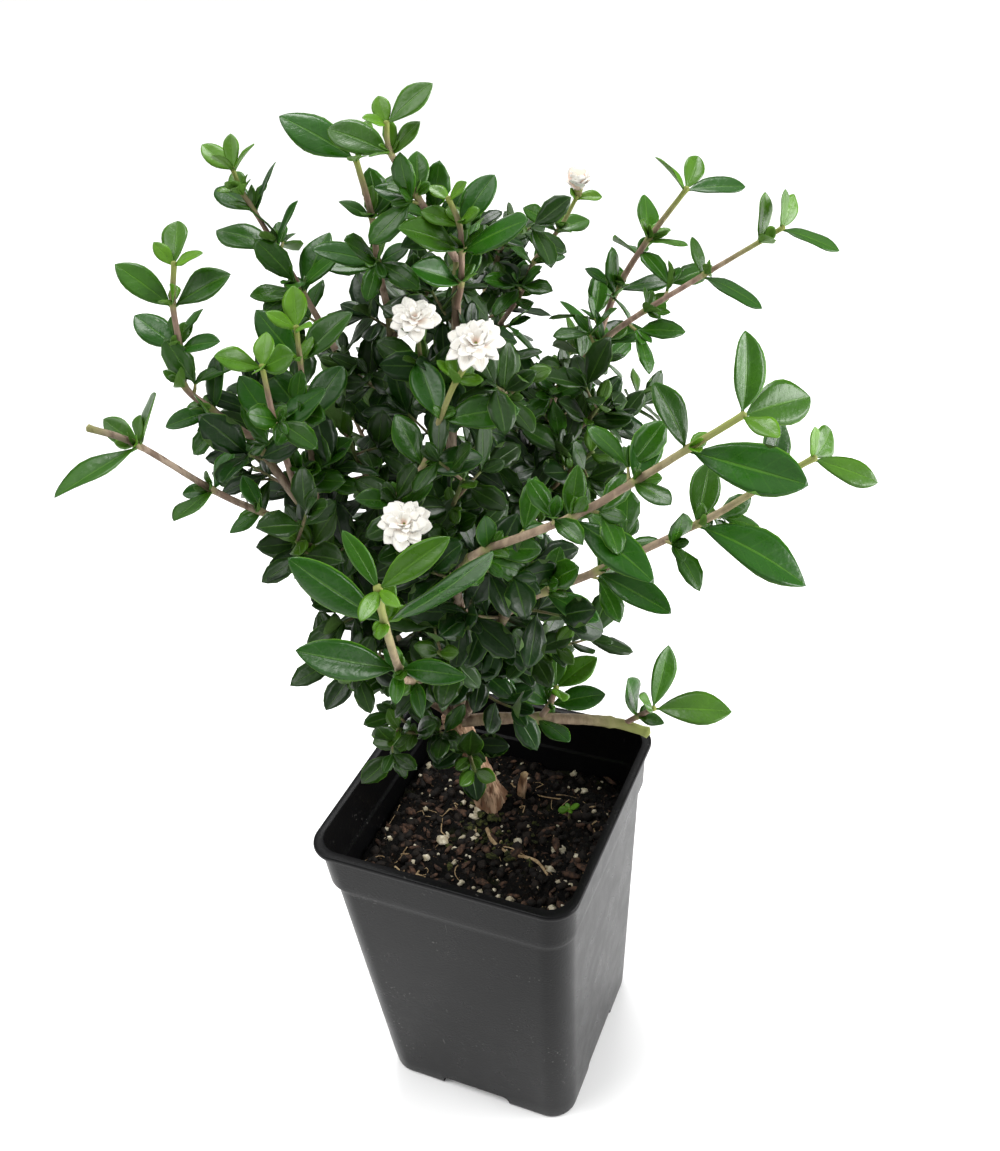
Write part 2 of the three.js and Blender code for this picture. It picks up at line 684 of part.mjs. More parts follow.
// What stands or lies in the soil sits in a socket of its own shape, a gap wider all round.
function buildPotAndSoil() {
  const stub = [new THREE.Vector3(2, 20, 103), new THREE.Vector3(4, 24, 121)];
  const root = vectors([[-3, 1, 111.2], [2, -4, 110.4], [10, -7, 110], [20, -7, 110], [29, -14, 109.6]]);
  const sprout = new THREE.Vector3(24, 18, 106);
  const grain = new THREE.Vector3(-17, -9, 110.2);
  const small = [
    ['cut_stub', stemSolid(stub, 1.7, 1.5, 8), stemSolid(stub, 1.7, 1.5, 8, GAP), COLOURS.bark],
    ['surface_root', stemSolid(root, 0.7, 0.45, 6), stemSolid(root, 0.7, 0.45, 6, GAP), COLOURS.root],
    [
      'seedling', seedlingSolid(sprout),
      stemSolid([sprout, new THREE.Vector3(24.3, 17.6, 112)], 0.6, 0.6, 8, GAP), COLOURS.youngShoot,
    ],
    ['perlite_grain', perliteSolid(grain, 2.4), perliteSolid(grain, 2.4 + GAP), COLOURS.perlite],
  ];
  const trunk = placed.find((piece) => piece.owner === 'trunk').swollen;
  const sockets = [trunk, ...small.map(([, , socket]) => socket)];
  const soil = largestPiece(sockets.reduce((rest, socket) => rest.subtract(socket), soilSolid()));
  container.add(meshOf('pot', potSolid(), COLOURS.pot));
  container.add(meshOf('soil', soil, COLOURS.soil));
  for (const [name, solid, , look] of small) {
    plant.add(meshOf(name, solid, look));
  }
}

buildStems();
buildShoots();
buildPotAndSoil();

export default group;
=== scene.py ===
"""Potted serissa: the looks of a small evergreen shrub growing in a square nursery pot.

Every piece is a surface worked out with numpy and stands for one CAD node, or lies in the soil or
between the shoots. The frame is the CAD part's: +Z up, the origin in the middle of the pot's
underside, metres. Lengths written in this file are millimetres and are scaled once, by MM.
"""
import json
import math
import zlib

import bpy
import numpy as np
from bpy.props import FloatProperty, FloatVectorProperty, IntProperty, PointerProperty
from mathutils import Matrix, Vector


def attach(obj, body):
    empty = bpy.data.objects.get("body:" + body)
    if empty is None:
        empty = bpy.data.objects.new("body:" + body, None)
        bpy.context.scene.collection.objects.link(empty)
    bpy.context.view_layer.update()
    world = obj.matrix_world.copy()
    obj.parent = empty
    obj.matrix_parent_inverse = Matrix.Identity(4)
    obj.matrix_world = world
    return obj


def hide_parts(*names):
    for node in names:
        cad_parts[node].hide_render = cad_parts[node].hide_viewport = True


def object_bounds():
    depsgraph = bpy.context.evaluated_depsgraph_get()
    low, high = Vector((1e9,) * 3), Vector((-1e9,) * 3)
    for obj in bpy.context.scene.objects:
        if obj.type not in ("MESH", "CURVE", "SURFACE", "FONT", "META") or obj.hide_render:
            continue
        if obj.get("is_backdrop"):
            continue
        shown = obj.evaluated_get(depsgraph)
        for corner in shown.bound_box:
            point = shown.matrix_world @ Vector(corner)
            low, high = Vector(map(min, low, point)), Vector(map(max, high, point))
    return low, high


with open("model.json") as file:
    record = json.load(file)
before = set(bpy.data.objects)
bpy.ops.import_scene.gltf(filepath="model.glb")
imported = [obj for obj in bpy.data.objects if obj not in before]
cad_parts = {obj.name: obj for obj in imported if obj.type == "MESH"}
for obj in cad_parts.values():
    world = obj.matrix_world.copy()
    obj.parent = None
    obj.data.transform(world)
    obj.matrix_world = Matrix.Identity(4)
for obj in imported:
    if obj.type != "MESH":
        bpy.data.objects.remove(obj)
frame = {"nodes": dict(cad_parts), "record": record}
CAD_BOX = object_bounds()

bl_info = {
    "name": "Potted serissa",
    "version": (1, 0, 0),
    "blender": (4, 2, 0),
    "location": "3D View > Sidebar > Serissa",
    "description": "Builds a potted serissa shrub, piece by piece, round its packed CAD part",
    "category": "Add Mesh",
}

MM = 0.001

# the crown's middle and reach, the clearing round the trunk, and how leaves turn to the light
UP = np.array([0.0, 0.0, 1.0])
FRONT = np.array([0.46, -0.89, 0.0]) / math.hypot(0.46, 0.89)
CROWN_AXIS = np.array([-5.0, 5.0])
CROWN_RADIUS = 110.0
TRUNK_FOOT = (-7, 17)
TRUNK_CLEARING = 7.0
LIGHT_UP, LIGHT_OUTWARD, LIGHT_FRONT, LIGHT_PULL = 0.8, 0.7, 0.45, 0.72

# what a leaf tries in turn until it clears its neighbours: (added roll, added spread, length factor)
LEAF_TRIES = (
    (0, 0, 1), (25, 0, 1), (-25, 0, 1), (0, -18, 0.85), (0, 15, 0.8),
    (45, 0, 0.8), (-45, 0, 0.8), (0, 0, 0.6),
)
FIT_TOLERANCE = 0.25
LEFT_OUT_SHARE = 0.45
LEAF_SPREAD = 50.0
LEAF_SAG = 0.12
LEAF_SET_BACK = 1.0
LEAF_NARROWING = 0.005
LEAF_RISE, LEAF_FALL = 1.05, 0.85
PETAL_RATIO = 0.66
NARROW_RATIO = 0.34
OLD_SHOOTS = ("far_left_shoot",)
# painted light: these front and right shoots get a paler copy of the shoot bark for their lit side; their
# longer fresh green skin is their own
LIT_PALE_SHOOTS = ("low_branch", "foreground_shoot", "middle_right_shoot", "lower_right_shoot", "flower_shoot")
BARE_SHOOTS = (
    "low_branch", "low_side_shoot", "foreground_shoot", "flower_shoot", "far_left_shoot", "trunk_twig_front",
)
TWIG_RADII = (0.9, 0.6)
TWIG_SPREAD, TWIG_TIP_SPREAD = 55.0, 38.0

# Each stem: its radius at the foot and at the tip, and the places that its middle line runs through
STEMS = {
    "trunk": [6.4, 4.4, [[-4, 19, 86], [-7, 17, 104], [-8, 16, 111], [-11, 12, 134], [-15, 8, 159]]],
    "stem_left": [
      2.1, 1.2,
      [[-15, 8, 159], [-22, -2, 178], [-24, -8, 203], [-30, -22, 244], [-36, -32, 270], [-43, -38, 293]],
    ],
    "stem_back_left": [
      1.9, 1.1,
      [[-16, 10, 157], [-25, 16, 185], [-31, 22, 232], [-30, 23, 278], [-27, 20, 310]],
    ],
    "stem_centre": [2.1, 1.2, [[-15, 8, 159], [-10, 4, 198], [-6, 4, 247], [1, 3, 291], [8, 0, 335]]],
    "stem_back": [1.8, 1.1, [[-16, 14, 155], [-17, 41, 179], [-14, 56, 232], [-15, 60, 288], [-10, 62, 308]]],
    "stem_right": [2, 1.4, [[-14, 11, 158], [-4, 23, 185], [5, 36, 229], [13, 45, 257], [24, 51, 275]]],
    "stem_front_right": [2, 1.4, [[-12, 5, 162], [6, -13, 213], [13, -32, 249], [23, -40, 266]]],
    "stem_low_right": [2, 1.4, [[-11, 8, 159], [8, -5, 200], [23, -22, 233], [35, -29, 247]]],
}

# Each shoot: its two radii and its nodes. A node is its place, then a row for each of its leaves:
# roll about the shoot, length and, where they are not the usual ones, spread and twist.
SHOOTS = {
    "far_left_shoot": [1.1, 0.9, [
      [-30, -31, 259],
      [-40, -46, 274, [60, 12], [200, 11]],
      [-47, -56, 286, [245, 17], [20, 13, 75], [160, 9]],
      [-56, -70, 306, [230, 26], [350, 19, 65], [110, 13], [10, 9]],
      [-63, -78, 314],
    ]],
    "left_shoot": [1.1, 0.7, [
      [-43, -38, 293],
      [-52, -42, 303, [20, 16], [200, 14]],
      [-58, -44, 311, [100, 11], [280, 12]],
      [-57, -43, 322, [150, 17, 65], [330, 13, 65]],
      [-56, -43, 334, [175, 18], [355, 19]],
      [-54, -41, 345, [90, 14, 40], [340, 9], [160, 8]],
    ]],
    "upper_left_shoot": [1, 0.6, [
      [-32, -5, 307],
      [-40, -5, 324, [45, 22], [215, 16]],
      [-46, -6, 338, [150, 20], [350, 15]],
      [-51, -6, 348, [125, 19], [5, 15]],
      [-53, -7, 353, [98, 9], [278, 9]],
      [-54, -8, 360, [140, 12], [330, 12], [60, 10, 30], [240, 9, 30]],
    ]],
    "top_left_shoot": [1.1, 0.8, [
      [-22, 11, 314],
      [-18, 2, 332, [185, 20], [0, 11]],
      [-14, -5, 348, [170, 10], [35, 14]],
      [-13, -11, 365, [155, 22], [45, 11], [280, 9]],
    ]],
    "top_shoot": [1.1, 0.7, [
      [8, 0, 335],
      [6, -3, 342, [30, 14], [210, 14]],
      [2, -8, 355, [60, 13], [165, 12]],
      [-2, -12, 367, [150, 18], [0, 11]],
      [-1, -14, 375, [15, 15], [105, 8], [200, 7]],
    ]],
    "upper_mid_shoot": [1, 0.7, [
      [7, -1, 322],
      [11, -5, 331, [200, 18], [60, 12]],
      [13, -7, 341, [320, 25], [195, 20]],
      [13, -7, 348, [20, 16], [150, 11]],
      [11, -8, 355, [125, 8], [345, 7, 60]],
    ]],
    "bud_shoot": [0.9, 0.6, [
      [-12, 61, 285],
      [5, 48, 306, [100, 12], [280, 12]],
      [10, 50, 317, [190, 16, 65], [20, 11]],
      [18, 52, 327, [190, 14, 70], [40, 12], [280, 8]],
      [24, 53, 337, [180, 9], [0, 8]],
    ]],
    "right_upper_shoot": [1.2, 0.8, [
      [24, 51, 275],
      [29, 53, 291, [150, 18, 60], [0, 14]],
      [36, 54, 309, [170, 12, 70], [350, 18], [90, 9]],
      [45, 57, 324, [115, 16], [320, 13]],
      [56, 60, 339, [5, 18], [85, 14], [170, 13, 70]],
    ]],
    "right_shoot": [1.1, 0.7, [
      [15, 44, 264],
      [22, 35, 282, [190, 12], [10, 12]],
      [37, 37, 299, [165, 10], [38, 16]],
      [49, 41, 308, [55, 10], [250, 11]],
      [65, 47, 318, [145, 12, 70], [335, 20]],
      [80, 53, 327, [150, 14], [250, 8]],
      [86, 54, 331, [350, 18], [105, 12], [160, 11]],
    ]],
    "middle_right_shoot": [1.3, 0.9, [
      [23, -40, 266],
      [29, -40, 270, [30, 16], [190, 12]],
      [53, -38, 283, [320, 28], [160, 14]],
      [69, -34, 294, [110, 16], [290, 14]],
      [82, -32, 304, [163, 19, 70], [342, 31]],
      [95, -30, 314, [140, 20], [45, 22], [300, 12]],
    ]],
    "lower_right_shoot": [1.3, 0.9, [
      [35, -29, 247],
      [40, -28, 250, [340, 18], [120, 14]],
      [55, -25, 258, [325, 24], [90, 18]],
      [81, -17, 273, [125, 18], [345, 34]],
      [97, -11, 284, [110, 22], [260, 8]],
      [109, -7, 292, [75, 14], [350, 19], [170, 9]],
    ]],
    "low_branch": [2.3, 1.8, [
      [-14, 8, 156],
      [-1, 8, 161],
      [17, 13, 162, [255, 18]],
      [40, 23, 158],
      [53, 27, 153],
    ]],
    "low_side_shoot": [1.1, 0.9, [
      [45, 25, 157],
      [50, 26, 161, [180, 24], [350, 10]],
      [56, 25, 167, [110, 23], [10, 28], [200, 14]],
    ]],
    "low_upright_shoot": [1.2, 0.9, [
      [17, 13, 162],
      [22, 12, 171, [180, 22], [0, 20]],
      [25, 11, 180, [155, 22], [90, 16], [30, 18], [270, 12]],
    ]],
    "foreground_shoot": [1.3, 1, [
      [3, -6, 196],
      [2, -45, 221, [100, 14], [280, 14]],
      [9, -63, 241, [175, 32], [340, 22], [260, 14]],
      [18, -81, 272, [155, 30], [0, 38, 50, 75], [70, 12]],
      [24, -91, 290, [115, 16], [20, 22], [250, 12], [300, 10]],
    ]],
    "flower_shoot": [1, 0.8, [
      [-6, 3, 250],
      [-1, -34, 277, [0, 13], [180, 13]],
      [6, -29, 287, [180, 17], [330, 18]],
      [10, -24, 299, [125, 20], [345, 22]],
      [14, -20, 309, [60, 9], [240, 9]],
      [19, -17, 316],
    ]],
    "centre_left_shoot": [1, 0.7, [
      [-33, -28, 264],
      [-31, -29, 280, [200, 16], [20, 15]],
      [-30, -29, 296, [130, 22], [50, 20]],
      [-28, -30, 315, [145, 19], [30, 20]],
      [-26, -32, 326, [90, 12], [300, 10], [180, 9]],
    ]],
    "front_left_shoot": [1, 0.7, [
      [-36, -32, 273],
      [-33, -40, 299, [130, 18], [15, 18]],
      [-30, -45, 320, [80, 10], [200, 14], [330, 14], [270, 8]],
    ]],
}

# Each inner twig: the roll of its first leaf pair, the leaf length, how many pairs, and its line
TWIGS = {
    "inner_twig_front_left": [20, 16, 4, [[-30, -22, 244], [-26, -40, 260], [-24, -53, 271]]],
    "inner_twig_left": [60, 15, 4, [[-32, -23, 252], [-44, -23, 268], [-57, -24, 280]]],
    "lower_twig_front_left": [40, 15, 4, [[-23, -8, 200], [-20, -38, 215], [-18, -54, 227]]],
    "inner_twig_low_left": [0, 15, 4, [[-25, -11, 212], [-22, -27, 230], [-20, -37, 245]]],
    "inner_twig_front": [70, 16, 4, [[-10, 4, 195], [5, -24, 212], [12, -45, 234]]],
    "low_twig_right": [35, 15, 4, [[8, -5, 200], [21, -10, 212], [36, -12, 218]]],
    "inner_twig_centre": [20, 15, 4, [[-6, 4, 240], [6, -20, 262], [17, -28, 283]]],
    "upper_twig_centre": [50, 15, 3, [[1, 3, 291], [18, -2, 295], [28, -5, 304]]],
    "upper_twig_left": [15, 15, 3, [[-30, 23, 278], [-40, 13, 291], [-43, 9, 302]]],
    "upper_twig_inner": [45, 15, 3, [[-27, 21, 300], [-13, 16, 316], [-3, 13, 326]]],
    "inner_twig_back_left": [0, 16, 4, [[-30, 21, 225], [-31, -3, 266], [-28, -12, 282]]],
    "inner_twig_back": [80, 15, 4, [[-14, 56, 232], [1, 57, 240], [14, 58, 254]]],
    "upper_twig_back": [30, 14, 4, [[-11, 62, 300], [0, 45, 320], [11, 33, 334]]],
    "inner_twig_right": [40, 16, 4, [[5, 36, 229], [27, 20, 258], [41, 12, 274]]],
    "upper_twig_right": [0, 15, 4, [[13, 45, 254], [30, 33, 270], [39, 26, 283]]],
    "trunk_twig_front": [20, 16, 3, [[-13, 10, 148], [-3, -6, 155], [4, -16, 158]]],
    "trunk_twig_left": [70, 15, 3, [[-15, 8, 155], [-20, -10, 164], [-22, -20, 174]]],
    "back_twig_low": [30, 17, 4, [[-17, 41, 179], [-30, 66, 205], [-36, 82, 228]]],
    "back_twig_middle": [72, 17, 4, [[-15, 57, 238], [0, 78, 255], [8, 90, 274]]],
    "back_twig_left": [0, 17, 4, [[-31, 22, 232], [-54, 38, 252], [-66, 46, 270]]],
    "back_twig_right": [45, 17, 4, [[4, 35, 224], [26, 62, 246], [36, 74, 264]]],
    "back_twig_top": [10, 16, 4, [[-15, 60, 285], [-28, 74, 303], [-33, 82, 318]]],
    "flower_twig_low": [15, 14, 4, [[-8, 4, 222], [-2, -22, 250], [5, -40, 273]]],
    "flower_twig_high": [60, 14, 3, [[0, 3, 286], [-2, -8, 305], [0, -13, 319]]],
}

# Open flowers: centre and length of the outer petals
FLOWERS = {
    "flower_low": ((7, -46, 278), 7.6),
    "flower_left": ((1, -15, 324), 6.8),
    "flower_right": ((20, -18, 320), 8.2),
}
FLOWER_FACING = FRONT * 0.55 + UP * 0.83
BUD_BASE = (24.4, 53.3, 338)
BUD_RADIUS = 3.4
WITHERED_AT = (-58, -45, 312)
FLOWER_CLEARING = 15.0
SPRIG_TURN = 2.4

DRAIN_RADIUS = 3.5
FLOOR_THICKNESS = 2.2

# the camera: metres from the origin, degrees, millimetres of lens and sensor
CAMERA_PLACE = (0.150216, -0.289940, 0.448688)
CAMERA_AZIMUTH, CAMERA_ELEVATION, CAMERA_ROLL = 25.41, 34.07, -5.07
CAMERA_LENS, CAMERA_SENSOR = 37.9, 36.0


# ------------------------------------------------------------------ numbers

def unit(vectors):
    """Each vector divided by its length."""
    vectors = np.asarray(vectors, float)
    return vectors / np.linalg.norm(vectors, axis=-1, keepdims=True)


def rng_for(name):
    """A random generator seeded by the piece's name and the chosen seed."""
    return np.random.default_rng(zlib.crc32(name.encode()) + bpy.context.scene.serissa_plant.seed)


def cell_noise(points, seed=0):
    """Smooth noise from -1 to 1: a hashed value at each corner of the unit cell round a point,
    mixed by the smoothstep of the point's place in the cell."""
    points = np.asarray(points, float)
    cell = np.floor(points).astype(np.int64)
    part = points - cell
    part = part * part * (3 - 2 * part)
    total = np.zeros(points.shape[:-1])
    for corner in np.ndindex(2, 2, 2):
        place = cell + corner
        key = place[..., 0] * 374761393 + place[..., 1] * 668265263 + place[..., 2] * 1274126177
        key = (key + seed * 974711) & 0xFFFFFFFF
        key = ((key ^ (key >> 13)) * 1274126177) & 0xFFFFFFFF
        value = ((key ^ (key >> 16)) & 0xFFFF) / 32767.5 - 1
        total += value * np.prod(np.where(corner, part, 1 - part), axis=-1)
    return total


def layered_noise(points, seed=0, layers=3):
    """Sum of cell_noise at doubled scales and halved strengths."""
    points = np.asarray(points, float)
    return sum(cell_noise(points * 2.0 ** k, seed + k) * 0.5 ** k for k in range(layers))


def smoothstep(low, high, value):
    """0 below low, 1 above high, and 3t^2 - 2t^3 between."""
    t = np.clip((value - low) / (high - low), 0, 1)
    return t * t * (3 - 2 * t)


# ------------------------------------------------------------------ surfaces

_faces = {}


def skin_faces(rows, count):
    """Faces of a closed skin of `rows` rings of `count` points each: a quad between each pair of
    neighbours, and triangles from each end ring to the middle point that closes it. The two middle
    points come after the rings. A triangle has -1 in its last place."""
    if (rows, count) not in _faces:
        k = np.arange(count)
        after = (k + 1) % count
        low = np.arange(rows - 1)[:, None] * count
        quads = np.stack([low + k, low + after, low + count + after, low + count + k], -1).reshape(-1, 4)
        none = np.full(count, -1)
        top = (rows - 1) * count
        start = np.stack([np.full(count, rows * count), after, k, none], -1)
        end = np.stack([np.full(count, rows * count + 1), top + k, top + after, none], -1)
        _faces[rows, count] = np.concatenate([quads, start, end])
    return _faces[rows, count]


def skin(rings, start=None, end=None, uv=None, slot=0, tone=0.5, age=1.0, under=None):
    """One part of a piece: rings (rows, count, 3), closed at a middle point before the first ring
    and one after the last. uv is (rows, count, 2); the end points take their ring's mean."""
    rows, count = rings.shape[:2]
    start = rings[0].mean(0) if start is None else start
    end = rings[-1].mean(0) if end is None else end
    uv = np.zeros((rows, count, 2)) if uv is None else uv
    faces = skin_faces(rows, count)
    return {
        "points": np.concatenate([rings.reshape(-1, 3), [start, end]]),
        "uv": np.concatenate([uv.reshape(-1, 2), [uv[0].mean(0), uv[-1].mean(0)]]),
        "faces": faces, "slot": slot, "tone": tone, "age": age,
        "under": np.zeros(len(faces)) if under is None else under,
    }


def build_mesh(name, parts):
    """Gather parts into one mesh with uv, leaf_tone, leaf_age and underside, all smooth."""
    offsets = np.cumsum([0] + [len(p["points"]) for p in parts])
    points = np.concatenate([p["points"] for p in parts]) * MM
    uv = np.concatenate([p["uv"] for p in parts])
    faces = np.concatenate([np.where(p["faces"] < 0, -1, p["faces"] + o) for p, o in zip(parts, offsets)])
    used = faces >= 0
    loops = faces[used]
    sizes = used.sum(1)
    mesh = bpy.data.meshes.new(name)
    mesh.vertices.add(len(points))
    mesh.vertices.foreach_set("co", points.ravel())
    mesh.loops.add(len(loops))
    mesh.loops.foreach_set("vertex_index", loops.astype(np.int32))
    mesh.polygons.add(len(faces))
    mesh.polygons.foreach_set("loop_start", (np.cumsum(sizes) - sizes).astype(np.int32))
    mesh.polygons.foreach_set("material_index", per_face(parts, "slot").astype(np.int32))
    mesh.polygons.foreach_set("use_smooth", np.ones(len(faces), bool))
    mesh.update(calc_edges=True)
    mesh.uv_layers.new(name="UVMap").data.foreach_set("uv", uv[loops].ravel())
    for label, key in (("leaf_tone", "tone"), ("leaf_age", "age"), ("underside", "under")):
        mesh.attributes.new(label, "FLOAT", "FACE").data.foreach_set("value", per_face(parts, key))
    if mesh.validate():
        raise RuntimeError(f"{name}: its mesh had faces that were not valid")
    return mesh


def per_face(parts, key):
    """A part's own value, repeated for each of its faces."""
    return np.concatenate([np.broadcast_to(p[key], len(p["faces"])).astype(float) for p in parts])


def add_piece(name, parts, materials, slot, nodes=()):
    """Make the piece's object at the origin, ride it on the root body and hide the CAD nodes that it stands
    for.
    """
    obj = bpy.data.objects.new(name, build_mesh(name, parts))
    return declare(obj, materials, slot, nodes)


def declare(obj, materials, slot, nodes=()):
    """Link a piece, give it its materials, ride it on the root body and hide the CAD nodes that it stands
    for.
    """
    if obj.name not in bpy.context.scene.collection.objects:
        bpy.context.scene.collection.objects.link(obj)
    for material in materials:
        obj.data.materials.append(material)
    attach(obj, "root")
    if nodes:
        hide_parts(*nodes)
    return obj


def smooth_path(corners, step):
    """Points about `step` apart on the Catmull-Rom curve through the corners, and the row of each
    corner: p(t) = half of (2b + (c - a)t + (2a - 5b + 4c - d)t^2 + (3b - a - 3c + d)t^3)."""
    corners = np.asarray(corners, float)
    ends = np.concatenate([[2 * corners[0] - corners[1]], corners, [2 * corners[-1] - corners[-2]]])
    rows, marks = [], [0]
    for a, b, c, d in zip(ends, ends[1:], ends[2:], ends[3:]):
        steps = max(int(np.linalg.norm(c - b) / step), 2)
        t = (np.arange(steps) / steps)[:, None]
        rows.append(0.5 * (2 * b + (c - a) * t + (2 * a - 5 * b + 4 * c - d) * t ** 2
                           + (3 * b - a - 3 * c + d) * t ** 3))
        marks.append(marks[-1] + steps)
    return np.concatenate([*rows, corners[-1:]]), np.array(marks)


def ring_frame(path):
    """Across and behind directions of each ring: at right angles to the path and to each other."""
    along = unit(np.gradient(path, axis=0))
    reference = np.eye(3)[np.argmin(np.abs(along).mean(0))]
    across = unit(np.cross(along, reference))
    return along, across, np.cross(along, across)


def tube(path, radii, sides, uv=None, **facts):
    """A round skin along a path: point k of a ring is its centre plus the radius times
    (cos a across + sin a behind), a = 2 pi k / sides. radii is (rows,) or (rows, sides)."""
    along, across, behind = ring_frame(path)
    angle = 2 * np.pi * np.arange(sides) / sides
    radii = np.asarray(radii, float)
    radii = np.broadcast_to(radii[:, None] if radii.ndim == 1 else radii, (len(path), sides))
    spokes = (np.cos(angle)[None, :, None] * across[:, None] + np.sin(angle)[None, :, None] * behind[:, None])
    rings = path[:, None] + radii[..., None] * spokes
    tip = path[-1] + along[-1] * radii[-1].mean() * 0.5
    return skin(rings, path[0], tip, uv, **facts)


def woody(corners, start, end, step=1.6, sides=8, swell=0.22, seed=0, rough=0.06, **facts):
    """A twig or stem: a tube along the smooth path whose radius runs from start to end, swells in a
    Gaussian bump at each node and is roughened by noise. Its uv holds, in u, how near a node is and,
    in v, the share of the length."""
    path, marks = smooth_path(corners, step)
    rows = len(path)
    share = np.linspace(0, 1, rows)
    reach = np.concatenate([[0], np.cumsum(np.linalg.norm(np.diff(path, axis=0), axis=1))])
    near = np.exp(-((reach[:, None] - reach[marks[1:]][None]) / 1.3) ** 2).max(1)
    radius = (start + (end - start) * share) * (1 + swell * near)
    angle = 2 * np.pi * np.arange(sides) / sides
    grid = np.stack([
        np.broadcast_to(reach[:, None] * 0.35, (rows, sides)),
        np.broadcast_to(np.cos(angle) * 1.3, (rows, sides)),
        np.broadcast_to(np.sin(angle) * 1.3, (rows, sides)),
    ], -1)
    radii = radius[:, None] * (1 + rough * layered_noise(grid, seed))
    uv = np.stack([np.broadcast_to(value[:, None], (rows, sides)) for value in (near, share)], -1)
    return tube(path, radii, sides, uv, **facts)


# ------------------------------------------------------------------ leaves

def leaf_form(columns, rows):
    """Grid of a blade: `columns` strips across its upper face and as many below, on `rows` rings.
    Returns across (1 to -1 and back), level (1 above, -1 below, 0 on the margin), the rings' shares
    of the length, and which faces are on the underside."""
    top = np.linspace(1, -1, columns + 1)
    across = np.concatenate([top, -top[1:-1]])
    level = np.concatenate([np.where(np.abs(top) == 1, 0, 1), -np.ones(columns - 1)])
    share = np.linspace(0, 1, rows + 1)[:-1]
    share = share - 0.09 * np.sin(2 * np.pi * share)
    below = np.concatenate([np.zeros(columns), np.ones(columns)])
    under = np.concatenate([np.tile(below, rows - 1), below, below])
    return across, level, share, under


FINE_LEAF = leaf_form(8, 13)
PLAIN_LEAF = leaf_form(4, 9)
SMALL_LEAF = leaf_form(4, 6)


def leaf_frame(base, axis, roll, spread, twist=0.0):
    """Direction of a leaf and of its upper face. The leaf points away from its twig at `spread`, on
    the side that `roll` gives about the twig. Its face turns from the twig toward the light, by the
    share LIGHT_PULL, and then by `twist` about the leaf's own line."""
    across = unit(np.cross(axis, FRONT))
    behind = np.cross(axis, across)
    turn, lean = math.radians(roll), math.radians(spread)
    outward = math.cos(turn) * across + math.sin(turn) * behind
    along = math.cos(lean) * axis + math.sin(lean) * outward
    light = np.append((base[:2] - CROWN_AXIS) * LIGHT_OUTWARD / CROWN_RADIUS, 0)
    light = light + FRONT * LIGHT_FRONT + UP * LIGHT_UP
    light = light - along * light.dot(along)
    face = unit((axis - along * axis.dot(along)) * (1 - LIGHT_PULL) + light * LIGHT_PULL)
    side = np.cross(face, along)
    angle = math.radians(twist)
    return along, math.cos(angle) * face - math.sin(angle) * side


def leaf(form, base, along, face, length, draw, facts, ratio=None, stalk=0.5):
    """One blade on a stalk; a longer one is narrower. Its half width is s^LEAF_RISE (1 - s)^LEAF_FALL,
    scaled to its widest; its middle line droops by sag t^2 and bends sideways by bend t^2; its
    halves rise by fold |u|^1.3 from the midrib, wave near the margin and curl down at it by
    0.16 |u|^3; its faces are parted by the thickness times 1 - 0.6 u^2."""
    sizes = bpy.context.scene.serissa_plant
    across, level, share, under = form
    ratio = sizes.leaf_ratio - LEAF_NARROWING * length if ratio is None else ratio
    sag = LEAF_SAG + draw.normal(0, 0.05)
    bend = draw.normal(0, 0.045)
    fold = sizes.leaf_fold + draw.normal(0, 0.1)
    turn = draw.normal(0, 0.22)
    phase = draw.uniform(0, 6.28)
    broad = ratio * draw.uniform(0.88, 1.14)
    side = np.cross(face, along)
    t = share[:, None]
    s = np.clip((t - 0.08) / 0.92, 0, 1)
    widest = LEAF_RISE / (LEAF_RISE + LEAF_FALL)
    peak = widest ** LEAF_RISE * (1 - widest) ** LEAF_FALL
    outline = s ** LEAF_RISE * (1 - s) ** LEAF_FALL / peak
    half = stalk * (1 - t) ** 0.6 + (0.5 * broad * length - stalk * 0.6) * outline
    angle = turn * t
    side_t = np.cos(angle)[..., None] * side + np.sin(angle)[..., None] * face
    face_t = np.cos(angle)[..., None] * face - np.sin(angle)[..., None] * side
    middle = base + along * (t * length)[..., None]
    middle = middle + face * (-sag * length * t ** 2)[..., None] + side * (bend * length * t ** 2)[..., None]
    u = across[None]
    wave = 0.1 * np.sin(7.5 * t + phase + 1.4 * np.sign(u)) * np.abs(u) ** 2
    curl = -0.16 * np.abs(u) ** 3
    thick = sizes.leaf_thickness / MM * (1.25 - 0.7 * t)
    rib = np.where((np.abs(u) < 0.01) & (level[None] < 0), 0.28 * (1 - t), 0)
    lift = half * (fold * np.abs(u) ** 1.3 + wave + curl) - rib
    lift = lift + level[None] * thick * 0.5 * (1 - 0.6 * u ** 2)
    rings = middle + side_t * (u * half)[..., None] + face_t * lift[..., None]
    tip = base + (along - sag * face + bend * side) * length
    rows, count = rings.shape[:2]
    uv = np.stack([np.broadcast_to(u * 0.5 + 0.5, (rows, count)), np.broadcast_to(t, (rows, count))], -1)
    return skin(rings, base, tip, uv, under=under, **facts)


